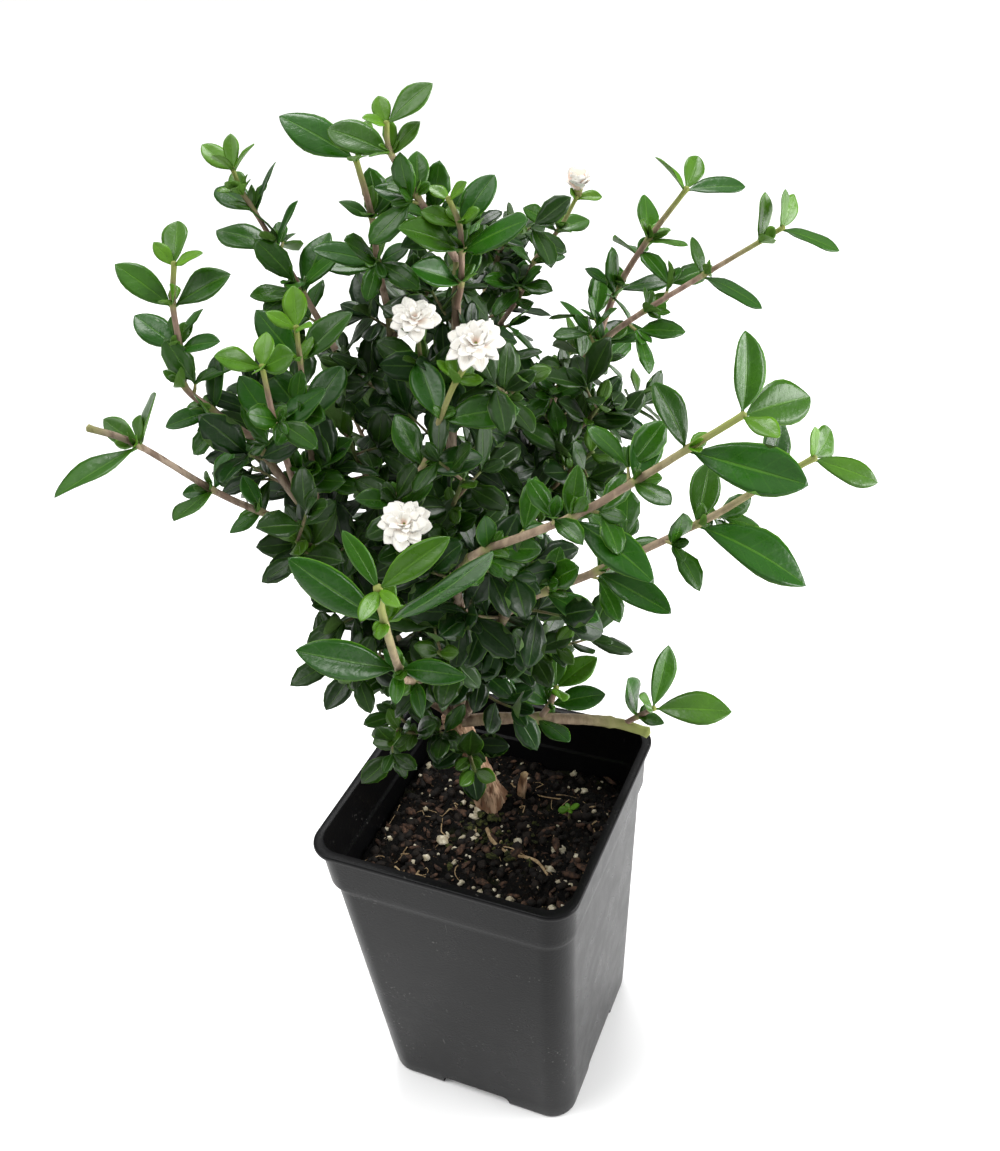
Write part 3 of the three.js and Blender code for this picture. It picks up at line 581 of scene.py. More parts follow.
def sprig(base, direction, length, leaf_size, draw, facts, wood_slot):
    """A short side shoot: a thin tube, a leaf pair halfway, a pair near the tip a quarter turn on,
    and two small leaves between them."""
    tip = base + direction * length
    middle = base + direction * length * 0.5 + draw.normal(0, 0.04, 3) * length
    parts = [woody([base, middle, tip], 0.5, 0.35, step=4, sides=5, rough=0, slot=wood_slot)]
    roll = draw.uniform(0, 360)
    for place, turn, size, spread in ((middle, 0, 0.9, 62), (tip, 90, 1.0, 50), (tip, 45, 0.5, 22)):
        if length < 5 and place is middle:
            continue
        for half in (0, 180):
            angle = roll + turn + half + draw.normal(0, 12)
            along, face = leaf_frame(place, direction, angle, spread + draw.normal(0, 10), draw.normal(0, 14))
            reached = leaf_size * size * draw.uniform(0.8, 1.15)
            own = {**facts, "tone": draw.uniform(0, 1)}
            parts.append(leaf(SMALL_LEAF, place, along, face, reached, draw, own, stalk=0.35))
    return parts


def hides_flower(tip):
    """Whether a side shoot's tip is in the clearing kept in front of a flower."""
    ahead = unit(FLOWER_FACING) * 8
    return any(np.linalg.norm(tip - place - ahead) < FLOWER_CLEARING for place, length in FLOWERS.values())


def sprigs_along(path, radius, spacing, leaf_size, reach, draw, facts, begin=0.0, wood_slot=1):
    """Side shoots scattered along a path, `spacing` apart, each leaning out and upward, with a
    clearing round each flower."""
    lengths = np.concatenate([[0], np.cumsum(np.linalg.norm(np.diff(path, axis=0), axis=1))])
    along, across, behind = ring_frame(path)
    parts = []
    turn = draw.uniform(0, 2 * math.pi)
    for at in np.arange(begin * lengths[-1] + spacing * draw.uniform(0.2, 0.9), lengths[-1], spacing):
        row = min(int(np.searchsorted(lengths, at)), len(path) - 1)
        turn += SPRIG_TURN
        outward = math.cos(turn) * across[row] + math.sin(turn) * behind[row]
        direction = unit(outward + along[row] * 0.55 + UP * 0.25 + draw.normal(0, 0.15, 3))
        root, reached = path[row] + outward * radius * 0.6, draw.uniform(*reach)
        if not hides_flower(root + direction * (reached + leaf_size * 0.4)):
            parts += sprig(root, direction, reached, leaf_size, draw, facts, wood_slot)
    return parts


# ------------------------------------------------------------------ pot and soil

def rounded_square(width, radius, corner_steps=16, flats=0):
    """Ring of a square with round corners, counterclockwise from +X. Each side has `flats` even
    points, or by default a few with some close to its corners so that it stays flat."""
    straight = width / 2 - radius
    angle = np.linspace(0, np.pi / 2, corner_steps + 1)
    corner = np.stack([straight + radius * np.cos(angle), straight + radius * np.sin(angle)], -1)
    side = np.linspace(-1, 1, flats + 1)[1:-1] if flats else np.array([-0.96, -0.5, 0.0, 0.5, 0.96])
    flat = np.stack([np.full(len(side), width / 2), side * straight], -1)
    quarter = np.concatenate([flat, corner])
    turns = [(1, 0, 0, 1), (0, -1, 1, 0), (-1, 0, 0, -1), (0, 1, -1, 0)]
    return np.concatenate([quarter @ np.array([[a, c], [b, d]]) for a, b, c, d in turns])


def square_rings(profile):
    """Rounded squares stacked from (width, z, corner radius) rows."""
    return np.stack([
        np.concatenate([ring, np.full((len(ring), 1), z)], 1)
        for ring, z in ((rounded_square(width, radius), z) for width, z, radius in profile)
    ])


def inside_width(z):
    """Inner width of the pot's tapered body at a height in millimetres."""
    pot = bpy.context.scene.serissa_pot
    band_bottom = (pot.height - pot.band_depth) / MM
    outer = pot.base_width / MM + (pot.body_width - pot.base_width) / MM * z / band_bottom
    return outer - 2 * pot.wall / MM


def soil_height(x, y):
    """Height of the soil's lumpy surface, in millimetres."""
    level = bpy.context.scene.serissa_pot.soil_level / MM
    return level + 0.8 * np.sin(0.31 * x + 1.3) * np.cos(0.27 * y - 0.4) + 0.5 * np.sin(0.17 * x - 0.21 * y)


def soil_surface(x, y):
    """Soil height with crumbs: layered noise of 6 mm, 3 mm and finer lumps, and a rise by the trunk."""
    spot = np.stack([x * 0.16, y * 0.16, np.zeros_like(x)], -1)
    crumb = np.stack([x * 0.55, y * 0.55, np.zeros_like(x) + 5], -1)
    mound = 1.6 * np.exp(-((x - TRUNK_FOOT[0]) ** 2 + (y - TRUNK_FOOT[1]) ** 2) / 260)
    return soil_height(x, y) + 1.0 * layered_noise(spot, 3) + 1.2 * layered_noise(crumb, 9, 3) + mound


def rounded_block(size, centre, bevel):
    """A box with round edges as a skin of rounded squares, for cutting the notches."""
    width, depth, height = size
    profile = []
    for step in np.linspace(0, np.pi / 2, 5):
        profile.append((bevel * (1 - math.cos(step)), bevel * (1 - math.sin(step))))
    lows = [(-height / 2 + inset, pull) for inset, pull in profile]
    rows = lows + [(-z, pull) for z, pull in reversed(lows)]
    rings = []
    for z, pull in rows:
        ring = rounded_square(2.0, 0.3, 6) * 0.5
        ring = ring * [width - 2 * pull, depth - 2 * pull]
        rings.append(np.concatenate([ring, np.full((len(ring), 1), z)], 1))
    return skin(np.stack(rings) + np.array(centre))


def cut_away(mesh, cutters):
    """A new mesh: the first less the cutters."""
    objects = [bpy.data.objects.new("cutting", data) for data in (mesh, *cutters)]
    for obj in objects:
        bpy.context.scene.collection.objects.link(obj)
    for tool in objects[1:]:
        cut = objects[0].modifiers.new("cut", "BOOLEAN")
        cut.operation, cut.solver, cut.object = "DIFFERENCE", "EXACT", tool
    evaluated = objects[0].evaluated_get(bpy.context.evaluated_depsgraph_get())
    result = bpy.data.meshes.new_from_object(evaluated)
    for obj in objects:
        bpy.data.objects.remove(obj)
    return result


# ------------------------------------------------------------------ looks

def rgb(red, green, blue):
    """Linear colour of an everyday 0 to 255 one: ((c + 0.055) / 1.055)^2.4 above the dark end."""
    def linear(value):
        value /= 255
        return value / 12.92 if value <= 0.04045 else ((value + 0.055) / 1.055) ** 2.4
    return linear(red), linear(green), linear(blue)


def node(tree, kind, inputs=(), **settings):
    """Add a node, set its properties, and link or set its inputs."""
    made = tree.nodes.new(kind)
    for key, value in settings.items():
        setattr(made, key, value)
    for key, value in dict(inputs).items():
        if isinstance(value, bpy.types.NodeSocket):
            tree.links.new(value, made.inputs[key])
        else:
            made.inputs[key].default_value = value
    return made


def maths(tree, how, a, b=0.0, c=0.0, clamp=False):
    """Result socket of one Math node."""
    return node(tree, "ShaderNodeMath", {0: a, 1: b, 2: c}, operation=how, use_clamp=clamp).outputs[0]


def ramp(tree, value, low, high, to_low=0.0, to_high=1.0):
    """Result socket of a smooth Map Range node."""
    inputs = {"Value": value, "From Min": low, "From Max": high, "To Min": to_low, "To Max": to_high}
    return node(tree, "ShaderNodeMapRange", inputs, interpolation_type="SMOOTHSTEP").outputs["Result"]


def mix(tree, share, a, b):
    """Result socket of a colour Mix node."""
    made = node(tree, "ShaderNodeMix", data_type="RGBA")
    for place, value in ((0, share), (6, a), (7, b)):
        if isinstance(value, bpy.types.NodeSocket):
            tree.links.new(value, made.inputs[place])
        else:
            made.inputs[place].default_value = value
    return made.outputs[2]


def solid(colour):
    """A linear colour with alpha."""
    return (*colour, 1.0)


def new_group(name, inputs, outputs):
    """An empty shader node group with named sockets; returns it with its input and output nodes."""
    group = bpy.data.node_groups.new(name, "ShaderNodeTree")
    for label, kind, default in inputs:
        socket = group.interface.new_socket(label, in_out="INPUT", socket_type=f"NodeSocket{kind}")
        if default is not None:
            socket.default_value = default
    for label, kind in outputs:
        group.interface.new_socket(label, in_out="OUTPUT", socket_type=f"NodeSocket{kind}")
    return group, group.nodes.new("NodeGroupInput"), group.nodes.new("NodeGroupOutput")


def speckle_group():
    """Mask of spots: noise at a scale, cut between two levels."""
    group, enter, leave = new_group(
        "serissa_speckle",
        [("Vector", "Vector", None), ("Scale", "Float", 100.0), ("Detail", "Float", 3.0),
         ("Low", "Float", 0.4), ("High", "Float", 0.6)],
        [("Mask", "Float")],
    )
    noise = node(group, "ShaderNodeTexNoise", {
        "Vector": enter.outputs["Vector"], "Scale": enter.outputs["Scale"], "Detail": enter.outputs["Detail"],
    })
    mask = ramp(group, noise.outputs[0], enter.outputs["Low"], enter.outputs["High"])
    group.links.new(mask, leave.inputs["Mask"])
    return group


def vein_group():
    """Midrib, side veins, margin and relief of a blade from its uv, where u runs across and v along.
    The midrib narrows toward the tip; a side vein is where 7v less the distance from the midrib is
    near a whole number."""
    group, enter, leave = new_group(
        "serissa_veins", [("UV", "Vector", None)],
        [("Midrib", "Float"), ("Veins", "Float"), ("Margin", "Float"), ("Height", "Float")],
    )
    place = node(group, "ShaderNodeSeparateXYZ", {0: enter.outputs["UV"]})
    off = maths(group, "ABSOLUTE", maths(group, "MULTIPLY_ADD", place.outputs[0], 2.0, -1.0))
    width = maths(group, "MULTIPLY_ADD", place.outputs[1], -0.05, 0.11)
    midrib = ramp(group, maths(group, "DIVIDE", off, width), 1.0, 0.35)
    wave = maths(group, "FRACT", maths(group, "SUBTRACT", maths(group, "MULTIPLY", place.outputs[1], 7.5),
                                       maths(group, "MULTIPLY", off, 1.35)))
    veins = ramp(group, maths(group, "ABSOLUTE", maths(group, "SUBTRACT", wave, 0.5)), 0.1, 0.0)
    veins = maths(group, "MULTIPLY", veins, ramp(group, off, 1.0, 0.6))
    margin = ramp(group, off, 0.9, 1.0)
    height = maths(group, "MULTIPLY_ADD", midrib, -0.8, maths(group, "MULTIPLY", veins, -0.05))
    for label, value in (("Midrib", midrib), ("Veins", veins), ("Margin", margin), ("Height", height)):
        group.links.new(value, leave.inputs[label])
    return group


def shared(name, maker):
    """A node group made once."""
    return bpy.data.node_groups.get(name) or maker()


def coordinates(tree):
    """Object coordinates."""
    return node(tree, "ShaderNodeTexCoord").outputs["Object"]


def speckle(tree, scale, low, high, detail=3.0, stretch=None):
    """Mask from the shared spot group, on object coordinates that can be stretched."""
    vector = coordinates(tree)
    if stretch:
        vector = node(tree, "ShaderNodeVectorMath", {0: vector, 1: stretch}, operation="MULTIPLY").outputs[0]
    inputs = {"Vector": vector, "Scale": scale, "Detail": detail, "Low": low, "High": high}
    group = shared("serissa_speckle", speckle_group)
    return node(tree, "ShaderNodeGroup", inputs, node_tree=group).outputs["Mask"]


def uv_parts(tree):
    """Sockets of u and v."""
    uv = node(tree, "ShaderNodeUVMap", uv_map="UVMap").outputs[0]
    return node(tree, "ShaderNodeSeparateXYZ", {0: uv}).outputs[:2]


def attribute(tree, name):
    """Socket of a number kept on the mesh."""
    return node(tree, "ShaderNodeAttribute", attribute_name=name).outputs["Fac"]


def new_material(name, **constants):
    """A material with its shader's constants set; returns it with its tree and shader."""
    material = bpy.data.materials.new(f"serissa_{name}")
    material.use_nodes = True
    shader = material.node_tree.nodes["Principled BSDF"]
    for key, value in constants.items():
        shader.inputs[key.replace("_", " ")].default_value = value
    return material, material.node_tree, shader


def finish_material(tree, shader, colour, roughness=None, height=None, strength=0.3, distance=0.0004):
    """Feed the shader's colour, roughness and a bump."""
    tree.links.new(colour, shader.inputs["Base Color"])
    if roughness is not None:
        tree.links.new(roughness, shader.inputs["Roughness"])
    if height is not None:
        bump = node(tree, "ShaderNodeBump", {"Height": height, "Strength": strength, "Distance": distance})
        tree.links.new(bump.outputs[0], shader.inputs["Normal"])


def pot_material():
    """Matt dark plastic: faint mottling, fine grain, pale dust and a few scuffs."""
    colours = bpy.context.scene.serissa_colours
    material, tree, shader = new_material("pot", Roughness=0.4, Specular_IOR_Level=0.12)
    body = mix(tree, speckle(tree, 60, 0.3, 0.7), solid(colours.pot), solid([c * 1.1 for c in colours.pot]))
    dust = maths(tree, "MULTIPLY", speckle(tree, 900, 0.66, 0.74, 2.0), speckle(tree, 45, 0.48, 0.7))
    scuff = speckle(tree, 260, 0.72, 0.78, 4.0, (1.0, 1.0, 0.16))
    pale = maths(tree, "MULTIPLY_ADD", dust, 0.35, maths(tree, "MULTIPLY", scuff, 0.25), clamp=True)
    body = mix(tree, pale, body, solid(rgb(150, 148, 144)))
    rough = maths(tree, "MULTIPLY_ADD", speckle(tree, 120, 0.3, 0.7), 0.05, 0.27)
    grain = maths(tree, "ADD", speckle(tree, 1400, 0.2, 0.8, 2.0), maths(tree, "MULTIPLY", dust, 0.6))
    finish_material(tree, shader, body, rough, grain, 0.25, 0.00012)
    return material


def soil_material():
    """Near-black wet peat with brown crumbs."""
    colours = bpy.context.scene.serissa_colours
    material, tree, shader = new_material("soil", Roughness=0.9, Specular_IOR_Level=0.12)
    crumbs = speckle(tree, 330, 0.52, 0.66, 5.0)
    body = mix(tree, crumbs, solid(colours.soil), solid(rgb(25, 18, 13)))
    fleck = speckle(tree, 900, 0.66, 0.72, 2.0)
    body = mix(tree, maths(tree, "MULTIPLY", fleck, 0.7), body, solid(rgb(120, 96, 72)))
    green = maths(tree, "MULTIPLY", speckle(tree, 70, 0.6, 0.72, 4.0), 0.35)
    body = mix(tree, green, body, solid(rgb(46, 54, 22)))
    rough = maths(tree, "MULTIPLY_ADD", crumbs, 0.25, 0.7)
    finish_material(tree, shader, body, rough, speckle(tree, 520, 0.25, 0.8, 6.0), 0.8, 0.0012)
    return material


def wood_material(name, bark, pale, fresh, fresh_from, flaky):
    """Bark with pale flakes, upright clefts darkened with painted shade, as deep as the bark is flaky, and,
    from a share of the length on, fresh green skin. Nodes are a little greener."""
    material, tree, shader = new_material(name, Roughness=0.75, Specular_IOR_Level=0.3)
    near_node, share = uv_parts(tree)
    flakes = speckle(tree, 420, 0.42, 0.62, 4.0, (1.0, 1.0, 0.28))
    shaded_cleft = speckle(tree, 700, 0.56, 0.68, 3.0, (1.0, 1.0, 0.12))
    body = mix(tree, flakes, solid(bark), solid(pale))
    # painted shade in the clefts: the bark is darkened there toward 0.35 of its colour, by 0.6 of the
    # flakiness
    body = mix(tree, maths(tree, "MULTIPLY", shaded_cleft, 0.6 * flaky), body, solid([c * 0.35 for c in bark]))
    young = ramp(tree, share, fresh_from, 1.0)
    young = maths(tree, "MAXIMUM", young, maths(tree, "MULTIPLY", near_node, 0.7))
    body = mix(tree, young, body, solid(fresh))
    rough = maths(tree, "MULTIPLY_ADD", flakes, 0.15, 0.62)
    height = maths(tree, "SUBTRACT", flakes, maths(tree, "MULTIPLY", shaded_cleft, 0.8))
    finish_material(tree, shader, body, rough, height, flaky, 0.0004)
    return material


def leaf_material(name, young, old, deep, gloss):
    """A glossy evergreen blade: new to old and leaf-to-leaf colour, a paler midrib, faint side veins,
    a thin pale margin, a grey-green matt underside, and quilting between the veins."""
    material, tree, shader = new_material(name, Specular_IOR_Level=0.3, Coat_Roughness=0.2)
    uv = node(tree, "ShaderNodeUVMap", uv_map="UVMap").outputs[0]
    veins = node(tree, "ShaderNodeGroup", node_tree=shared("serissa_veins", vein_group))
    tree.links.new(uv, veins.inputs["UV"])
    tone, age, under = (attribute(tree, label) for label in ("leaf_tone", "leaf_age", "underside"))
    body = mix(tree, tone, solid(deep), solid(old))
    body = mix(tree, age, solid(young), body)
    patch = maths(tree, "MULTIPLY", speckle(tree, 160, 0.35, 0.7, 4.0), 0.3)
    body = mix(tree, patch, body, solid([c * 0.6 for c in old]))
    pale = solid([min(c * 1.7 + 0.02, 1) for c in young])
    for label, strength in (("Veins", 0.03), ("Midrib", 0.16), ("Margin", 0.4)):
        body = mix(tree, maths(tree, "MULTIPLY", veins.outputs[label], strength), body, pale)
    dull = solid([c * 0.7 + 0.02 for c in young])
    body = mix(tree, maths(tree, "MULTIPLY", under, 0.7), body, dull)
    rough = maths(tree, "MULTIPLY_ADD", speckle(tree, 300, 0.3, 0.7), 0.08, gloss)
    rough = maths(tree, "MULTIPLY_ADD", under, 0.25, rough)
    quilt = maths(tree, "MULTIPLY_ADD", speckle(tree, 500, 0.2, 0.8, 2.0), 0.3, veins.outputs["Height"])
    finish_material(tree, shader, body, rough, quilt, 0.5, 0.0005)
    coat = maths(tree, "MULTIPLY_ADD", under, -0.04, 0.04)
    tree.links.new(coat, shader.inputs["Coat Weight"])
    return material


def petal_material():
    """Creamy white petals, warmer and a little pink toward the base, with faint long veins."""
    colours = bpy.context.scene.serissa_colours
    material, tree, shader = new_material("petal", Roughness=0.6, Specular_IOR_Level=0.3, Sheen_Weight=0.2)
    across, along = uv_parts(tree)
    base = ramp(tree, along, 0.6, 0.0)
    body = mix(tree, maths(tree, "MULTIPLY", base, 0.85), solid(colours.petal), solid(rgb(238, 202, 182)))
    wave = maths(tree, "SINE", maths(tree, "MULTIPLY", across, 44.0))
    line = ramp(tree, wave, 0.4, 1.0)
    body = mix(tree, maths(tree, "MULTIPLY", line, 0.12), body, solid(rgb(222, 205, 190)))
    spots = maths(tree, "MULTIPLY", speckle(tree, 500, 0.62, 0.75), 0.25)
    body = mix(tree, spots, body, solid(rgb(236, 216, 196)))
    relief = maths(tree, "ADD", line, speckle(tree, 800, 0.2, 0.8))
    finish_material(tree, shader, body, None, relief, 0.3, 0.0002)
    return material


def mottled_material(name, low, high, rough, scale, relief=0.5, distance=0.0005):
    """Two colours mixed by noise, rough and bumpy: grains, chips, moss and roots."""
    material, tree, shader = new_material(name, Roughness=rough, Specular_IOR_Level=0.3)
    spots = speckle(tree, scale, 0.35, 0.68, 4.0)
    body = mix(tree, spots, solid(low), solid(high))
    shade = maths(tree, "MULTIPLY", attribute(tree, "leaf_tone"), 0.4)
    body = mix(tree, shade, body, solid([c * 0.5 for c in low]))
    finish_material(tree, shader, body, None, speckle(tree, scale * 2, 0.2, 0.8, 4.0), relief, distance)
    return material


# bark, flakes, fresh skin, the share of the length that it starts at, and how flaky the bark is, which also
# sets how deep the clefts look and how dark their painted shade is
WOODS = {
    "bark": (rgb(134, 100, 76), rgb(198, 164, 134), rgb(150, 128, 96), 0.98, 0.9),
    "stem": (rgb(112, 92, 78), rgb(160, 142, 124), rgb(132, 130, 84), 0.9, 0.5),
    "shoot": (rgb(126, 102, 88), rgb(156, 134, 118), rgb(128, 138, 66), 0.75, 0.3),
    # painted light: a paler copy of the shoot bark for the lit front and right shoots; the longer stretch of
    # fresh green skin and the less flaky bark are their own
    "lit_pale_shoot": (rgb(134, 114, 96), rgb(162, 142, 120), rgb(136, 144, 76), 0.55, 0.2),
    # painted shade: a darker copy of the shoot bark and fresh skin for the twigs inside the crown
    "shaded_inner_shoot": (rgb(96, 80, 62), rgb(130, 112, 92), rgb(84, 98, 46), 0.6, 0.3),
}
# dark and light colour, roughness, spots in a metre, and where they differ, relief and its depth
MOTTLED = {
    "perlite": (rgb(176, 164, 136), rgb(226, 218, 196), 0.85, 600),
    "chip": (rgb(38, 26, 20), rgb(96, 70, 54), 0.8, 500),
    "peat": (rgb(12, 9, 7), rgb(34, 25, 18), 0.8, 400),
    "root": (rgb(150, 124, 90), rgb(196, 172, 134), 0.8, 500),
    "moss": (rgb(30, 34, 14), rgb(92, 96, 48), 0.95, 900, 0.9, 0.0008),
    "withered": (rgb(104, 70, 40), rgb(168, 128, 84), 0.85, 600),
}


def leaf_look(name):
    """The colours and gloss of one kind of leaf."""
    colours = bpy.context.scene.serissa_colours
    young, leaf_green, inner = colours.young_leaf, colours.leaf, colours.inner_leaf
    dark = [c * 0.6 for c in leaf_green]
    if name == "young_leaf":
        return leaf_material(name, young, [c * 1.1 for c in leaf_green], dark, 0.27)
    if name == "leaf":
        return leaf_material(name, young, leaf_green, dark, 0.26)
    # painted shade: leaves inside the crown get darker copies of the leaf colours, young ones at seven tenths
    # and the deepest at half
    return leaf_material(name, [c * 0.7 for c in young], inner, [c * 0.5 for c in inner], 0.3)


def look(name):
    """A material made once, on first use."""
    made = bpy.data.materials.get(f"serissa_{name}")
    if made:
        return made
    if name in WOODS:
        return wood_material(name, *WOODS[name])
    if name in MOTTLED:
        return mottled_material(name, *MOTTLED[name])
    single = {"pot": pot_material, "soil": soil_material, "petal": petal_material}
    return single[name]() if name in single else leaf_look(name)


# ------------------------------------------------------------------ pieces

def pot_profile():
    """Rows (width, height, corner radius) from the middle of the underside up the outside, over the
    lip and down the inside to the raised floor."""
    pot = bpy.context.scene.serissa_pot
    height, lip = pot.height / MM, pot.lip_width / MM
    band_bottom = height - pot.band_depth / MM
    body, base, wall = pot.body_width / MM, pot.base_width / MM, pot.wall / MM
    radius = pot.corner_radius / MM
    inner = radius - wall
    floor = pot.foot_height / MM + FLOOR_THICKNESS
    band_low, band_high = body + 2.7, body + 4.4
    lip_low = height - 2.2
    outside = [
        (base - 3.6, 0, radius - 1.8), (base - 1.7, 0.2, radius - 0.8), (base - 0.5, 0.8, radius - 0.3),
        (base, 1.9, radius), (base + 0.9, 8, radius), (body - 0.4, band_bottom - 4, radius),
        (body, band_bottom - 0.7, radius), (body + 0.3, band_bottom - 0.35, radius),
        (band_low - 0.9, band_bottom - 0.15, radius), (band_low - 0.2, band_bottom + 0.15, radius),
        (band_low, band_bottom + 0.7, radius), (band_low + 0.2, band_bottom + 3, radius),
        (band_high - 0.1, lip_low - 1.5, radius), (band_high, lip_low - 0.5, radius),
        (band_high + 0.5, lip_low - 0.1, radius), (lip - 0.9, lip_low, radius),
        (lip - 0.2, lip_low + 0.25, radius), (lip, lip_low + 0.8, radius), (lip, height - 0.9, radius),
        (lip - 0.25, height - 0.35, radius), (lip - 0.8, height - 0.06, radius), (lip - 1.5, height, radius),
    ]
    mouth = band_high - 2 * wall
    inside = [
        (mouth + 0.9, height, inner + 0.4), (mouth + 0.3, height - 0.15, inner + 0.1),
        (mouth, height - 0.7, inner), (mouth - 0.1, height - 2.5, inner),
        (band_low - 2 * wall, band_bottom + 2.6, inner), (band_low - 2 * wall - 0.3, band_bottom + 2, inner),
        (inside_width(band_bottom) + 0.2, band_bottom + 1.5, inner),
        (inside_width(band_bottom), band_bottom + 0.8, inner),
        (inside_width(floor + 4), floor + 4, inner), (inside_width(floor) - 0.6, floor + 0.6, inner),
        (inside_width(floor) - 3, floor, inner),
    ]
    return outside + inside


def notch_blocks():
    """One round-edged block under the middle of each side, and one drain cylinder above it."""
    pot = bpy.context.scene.serissa_pot
    base, foot = pot.base_width / MM, pot.foot_height / MM
    depth, width, reach = 13.0, 29.0, 50.0
    block = rounded_block((width, reach, 2 * foot), (0, base / 2 - depth + reach / 2, 0), 2.6)
    axis = np.array([[0, 0, -3.0], [0, 0, 2.0], [0, 0, 9.0]]) + [0, base / 2 - depth / 2, 0]
    hole = tube(axis, DRAIN_RADIUS, 28)
    for cos, sin in ((1, 0), (0, 1), (-1, 0), (0, -1)):
        turn = np.array([[cos, sin, 0], [-sin, cos, 0], [0, 0, 1.0]])
        for part in (block, hole):
            yield build_mesh("cutter", [{**part, "points": part["points"] @ turn}])


def build_pot():
    """The pot: stacked rounded squares skinned as one closed shell, less its notches and drains."""
    shell = build_mesh("shell", [skin(square_rings(pot_profile()))])
    mesh = cut_away(shell, notch_blocks())
    mesh.name = "pot_shell"
    mesh.polygons.foreach_set("use_smooth", np.ones(len(mesh.polygons), bool))
    mesh.set_sharp_from_angle(angle=math.radians(38))
    declare(bpy.data.objects.new("pot_shell", mesh), [look("pot")], "pot_plastic", ["pot"])


def build_soil():
    """The potting mix: rings up the pot's inside, then rings drawn in to the middle of its surface."""
    ring = rounded_square(2.0, 0.19, 6, 28)
    level = bpy.context.scene.serissa_pot.soil_level / MM
    rows = []
    for z in (7.4, 30.0, 60.0, 90.0, level - 4):
        width = inside_width(z) - 1.0
        rows.append(np.concatenate([ring * width / 2, np.full((len(ring), 1), z)], 1))
    top = inside_width(level) - 1.0
    for share in np.linspace(1, 0.02, 54):
        flat = ring * share * top / 2
        drop = 1.3 * smoothstep(0.93, 1.0, share)
        rows.append(np.concatenate([flat, (soil_surface(*flat.T) - drop)[:, None]], 1))
    add_piece("soil_mass", [skin(np.stack(rows))], [look("soil")], "soil", ["soil"])


def lump(centre, radii, turn, rows=5, count=8, rough=0.25, seed=0, **facts):
    """A rough grain: an ellipsoid, its points pushed in and out by noise, turned by a matrix."""
    polar = np.linspace(0, np.pi, rows + 2)[1:-1, None]
    turned = 2 * np.pi * np.arange(count)[None] / count
    wide = np.sin(polar)
    ball = np.stack(np.broadcast_arrays(wide * np.cos(turned), wide * np.sin(turned), -np.cos(polar)), -1)
    rings = ball * (1 + rough * cell_noise(ball * 1.7 + seed, seed))[..., None] * radii
    ends = np.array([[0, 0, -radii[2]], [0, 0, radii[2]]])
    return skin(rings @ turn + centre, ends[0] @ turn + centre, ends[1] @ turn + centre, **facts)


def scatter(draw, count, edge):
    """Places on the soil, off the trunk and inside the wall, denser toward the front."""
    half = inside_width(bpy.context.scene.serissa_pot.soil_level / MM) / 2 - edge
    spots = draw.uniform(-half, half, (count * 3, 2))
    keep = np.hypot(*(spots - TRUNK_FOOT).T) > TRUNK_CLEARING
    keep &= draw.uniform(0, 1, len(spots)) < 0.95 - 0.3 * spots[:, 1] / half
    return spots[keep][:count]


def random_turn(draw, tilt=0.5):
    """A turn about +Z by any angle after a small tilt."""
    a, b = draw.uniform(0, 2 * math.pi), draw.normal(0, tilt)
    tip = np.array([[1, 0, 0], [0, math.cos(b), math.sin(b)], [0, -math.sin(b), math.cos(b)]])
    spin = np.array([[math.cos(a), math.sin(a), 0], [-math.sin(a), math.cos(a), 0], [0, 0, 1]])
    return tip @ spin


def build_litter():
    """What lies on the soil: perlite grains, bark chips, peat lumps, fine roots and moss."""
    plant = bpy.context.scene.serissa_plant
    kinds = (
        ("perlite_grains", "perlite", "perlite", plant.perlite_count, (0.45, 2.1), (1, 0.8, 0.7), 5, 8, 0.45),
        ("bark_chips", "chip", "soil", plant.chip_count, (0.8, 4.2), (1, 0.42, 0.26), 4, 6, 0.45),
        ("peat_lumps", "peat", "soil", plant.chip_count * 2, (0.6, 2.4), (1, 0.8, 0.7), 4, 7, 0.55),
        ("moss_tufts", "moss", "soil", 70, (0.8, 2.6), (1, 0.8, 0.5), 6, 10, 0.7),
    )
    for name, material, slot, count, sizes, shape, rows, around, rough in kinds:
        draw = rng_for(name)
        parts = []
        spots = scatter(draw, count, 3.0)
        if name == "moss_tufts":
            spots = np.array([1.0, 1.0]) + draw.normal(0, 1, (count, 2)) * [10, 8]
        for x, y in spots:
            size = sizes[0] + (sizes[1] - sizes[0]) * draw.uniform(0, 1) ** 2
            z = soil_surface(x, y) + size * shape[2] * draw.uniform(-0.45, 0.35)
            radii = size * np.array(shape) * draw.uniform(0.75, 1.2, 3)
            turn, noise_seed = random_turn(draw), int(draw.integers(1e6))
            tone = draw.uniform(0, 1)
            parts.append(lump(np.array([x, y, z]), radii, turn, rows, around, rough, noise_seed, tone=tone))
        add_piece(name, parts, [look(material)], slot)
    draw = rng_for("fine_roots")
    parts = []
    for x, y in scatter(draw, 34, 9.0):
        steps = np.cumsum(draw.normal(0, 2.2, (5, 2)) + draw.normal(0, 1.6, 2), axis=0)
        flat = np.clip(np.array([x, y]) + steps, -41, 41)
        line = np.concatenate([flat, (soil_surface(*flat.T) + draw.uniform(0, 0.9, 5))[:, None]], 1)
        parts.append(woody(line, draw.uniform(0.14, 0.4), 0.1, step=2, sides=5, tone=draw.uniform(0, 1)))
    add_piece("fine_roots", parts, [look("root")], "root")


